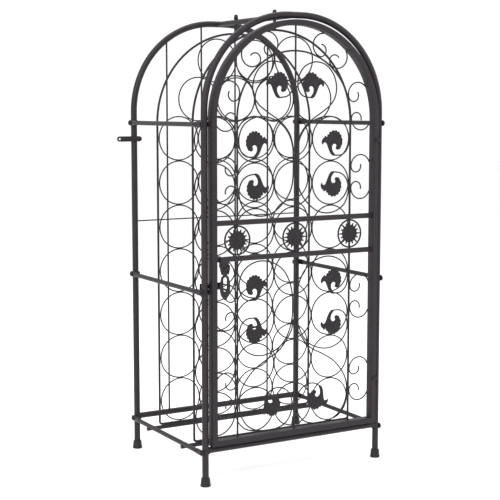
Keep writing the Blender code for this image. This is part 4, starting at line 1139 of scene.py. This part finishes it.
SCROLL_SETS = {
    "upper": (
        (HEART, SIDE_SCROLL),
        (((40, 813.5), -1, 1, 0), ((100, 690), 1, 1, 0), ((98, 654), 1, -1, 0)),
    ),
    "lower": (
        (long_scroll, LOW_HEART),
        (((100, 387), 1, 1, 0), ((100, 349), 1, -1, 0), ((66, 183), -1, -1, -18)),
    ),
}
for hand, side in (("left", -1), ("right", 1)):
    for level, (lines, leaves) in SCROLL_SETS.items():
        parts = [bar(at_y(mirrored(scroll(line), side), WIRE_Y), WIRE_R) for line in lines]
        parts += [leaf(*place, side) for place in leaves]
        name = f"{level}_{hand}_scrollwork"
        piece(f"{name}_cast", welded(parts), cast_coat, "door", [name], crease=55.0)

# ---- Hinges ----
# Two small lift-off hinges: a pin and lug welded to the right post, and a barrel with a short
# leaf welded to the door's tube, which drops over the pin.
HINGE_X = 0.2125
HINGE_Y = -0.1835
HINGE_Z = {"lower": 0.182, "upper": 0.716}
HINGE_R = 0.0033
HINGE_HALF = 0.011
LUG_THICK = 0.0028
HINGE_PIN_R = 0.0014
HINGE_LEAF = 0.0018
half_barrel = [
    (0.0, HINGE_HALF), (HINGE_R - 0.0006, HINGE_HALF), (HINGE_R, HINGE_HALF - 0.0006),
    (HINGE_R, 0.0007), (HINGE_R - 0.0004, 0.0003), (0.0, 0.0003),
]
leaf_back = DOOR_Y - DOOR_DEPTH / 2 - 0.0002
to_post = Vector((POST_X - HINGE_X, -POST_Y - HINGE_Y, 0))
for level, z in HINGE_Z.items():
    place = Matrix.Translation((HINGE_X, HINGE_Y, z))
    lug = block(
        (0, -LUG_THICK / 2, -HINGE_HALF + 0.001),
        (to_post.length - POST_R + 0.0006, LUG_THICK / 2, -0.001),
    )
    lug.transform(place @ Matrix.Rotation(math.atan2(to_post.y, to_post.x), 4, "Z"))
    lower_half = moved(turned(half_barrel, 24), place @ Matrix.Rotation(math.pi, 4, "X"))
    pin_ends = [(HINGE_X, HINGE_Y, z + up) for up in (-0.002, HINGE_HALF * 0.8)]
    pin = straight(*pin_ends, HINGE_PIN_R, 4)
    piece(
        f"hinge_{level}_post_half", welded([lower_half, lug, pin]), bolt_black, "rack",
        [f"hinge_pin_{level}"],
    )
    barrel = welded([
        moved(turned(half_barrel, 24), place),
        block(
            (DOOR_HALF_W + DOOR_TUBE / 2 - 0.010, leaf_back - HINGE_LEAF, z + 0.001),
            (HINGE_X - 0.0015, leaf_back, z + HINGE_HALF - 0.001),
        ),
    ])
    piece(
        f"hinge_{level}_door_half", barrel, bolt_black, "door", [f"hinge_barrel_{level}"]
    )

# ---- Staple ----
# A strap welded behind the left post, with a bent wire eye that comes through the hasp's slot
# and takes the padlock.
STAPLE_Z = 0.423
STAPLE_HALF = 0.005
STAPLE_TIP_Y = -0.1954
STRAP_Y = (-0.1627, -0.1597)
STRAP = [
    (-0.2260, 0.0064), (-0.2250, 0.0070), (-0.2110, 0.0070), (-0.2085, 0.0055), (-0.2065, 0.0034),
    (-0.2040, 0.0028), (-0.1910, 0.0028), (-0.1885, 0.0034), (-0.1865, 0.0055), (-0.1845, 0.0068),
    (-0.1740, 0.0068), (-0.1725, 0.0060),
]
EYE_WIRE_R = 0.0016
eye_foot = STRAP_Y[0] + 0.001
eye_line = [
    (eye_foot, STAPLE_Z - STAPLE_HALF),
    *arc((STAPLE_TIP_Y + STAPLE_HALF, STAPLE_Z), STAPLE_HALF, 270, 90, 14),
    (eye_foot, STAPLE_Z + STAPLE_HALF),
]
waist = [(x, STAPLE_Z - half) for x, half in STRAP]
waist += [(x, STAPLE_Z + half) for x, half in STRAP[::-1]]
staple = welded([
    cut_plate(waist, (STRAP_Y[0] + STRAP_Y[1]) / 2, STRAP_Y[1] - STRAP_Y[0], bevel=0.0006),
    bar([(HASP_X, y, z) for y, z in eye_line], EYE_WIRE_R, fineness=4),
])
piece("staple_arm", staple, bolt_black, "rack", ["padlock_staple"])

# ---- Hasp ----
# A slotted, spade-shaped plate cut from 2 mm sheet and rolled at the top into a knuckle, which
# swings up on the pin under the door's lower rail.
HASP_THICK = 0.002
KNUCKLE_R = 0.003
SLOT_R = 0.00425
SLOT_Z = (0.413, 0.443)
HASP_HALF = [
    (0.0066, 0.4590), (0.0068, 0.4560), (0.0062, 0.4520), (0.0051, 0.4485), (0.0051, 0.4465),
    (0.0070, 0.4452), (0.0086, 0.4436), (0.0094, 0.4405), (0.0108, 0.4350), (0.0118, 0.4290),
    (0.0122, 0.4210), (0.0118, 0.4140), (0.0108, 0.4085), (0.0088, 0.4040), (0.0052, 0.3992),
    (0.0024, 0.3958), (0.0, 0.3940),
]
right_edge = [(HASP_X + x, z) for x, z in HASP_HALF]
left_edge = [(HASP_X - x, z) for x, z in HASP_HALF[-2::-1]]
slot_hole = (
    arc((HASP_X, SLOT_Z[1] - SLOT_R), SLOT_R, 0, 180, 10)
    + arc((HASP_X, SLOT_Z[0] + SLOT_R), SLOT_R, 180, 360, 10)
)
hasp = welded([
    cut_plate(right_edge + left_edge, HASP_Y, HASP_THICK, holes=[slot_hole], bevel=0.0004),
    across_hasp(BLOCK_HALF - EAR - 0.0003, KNUCKLE_R, 6),
])
piece("hasp", hasp, frame_coat, "hasp", ["hasp_plate"])
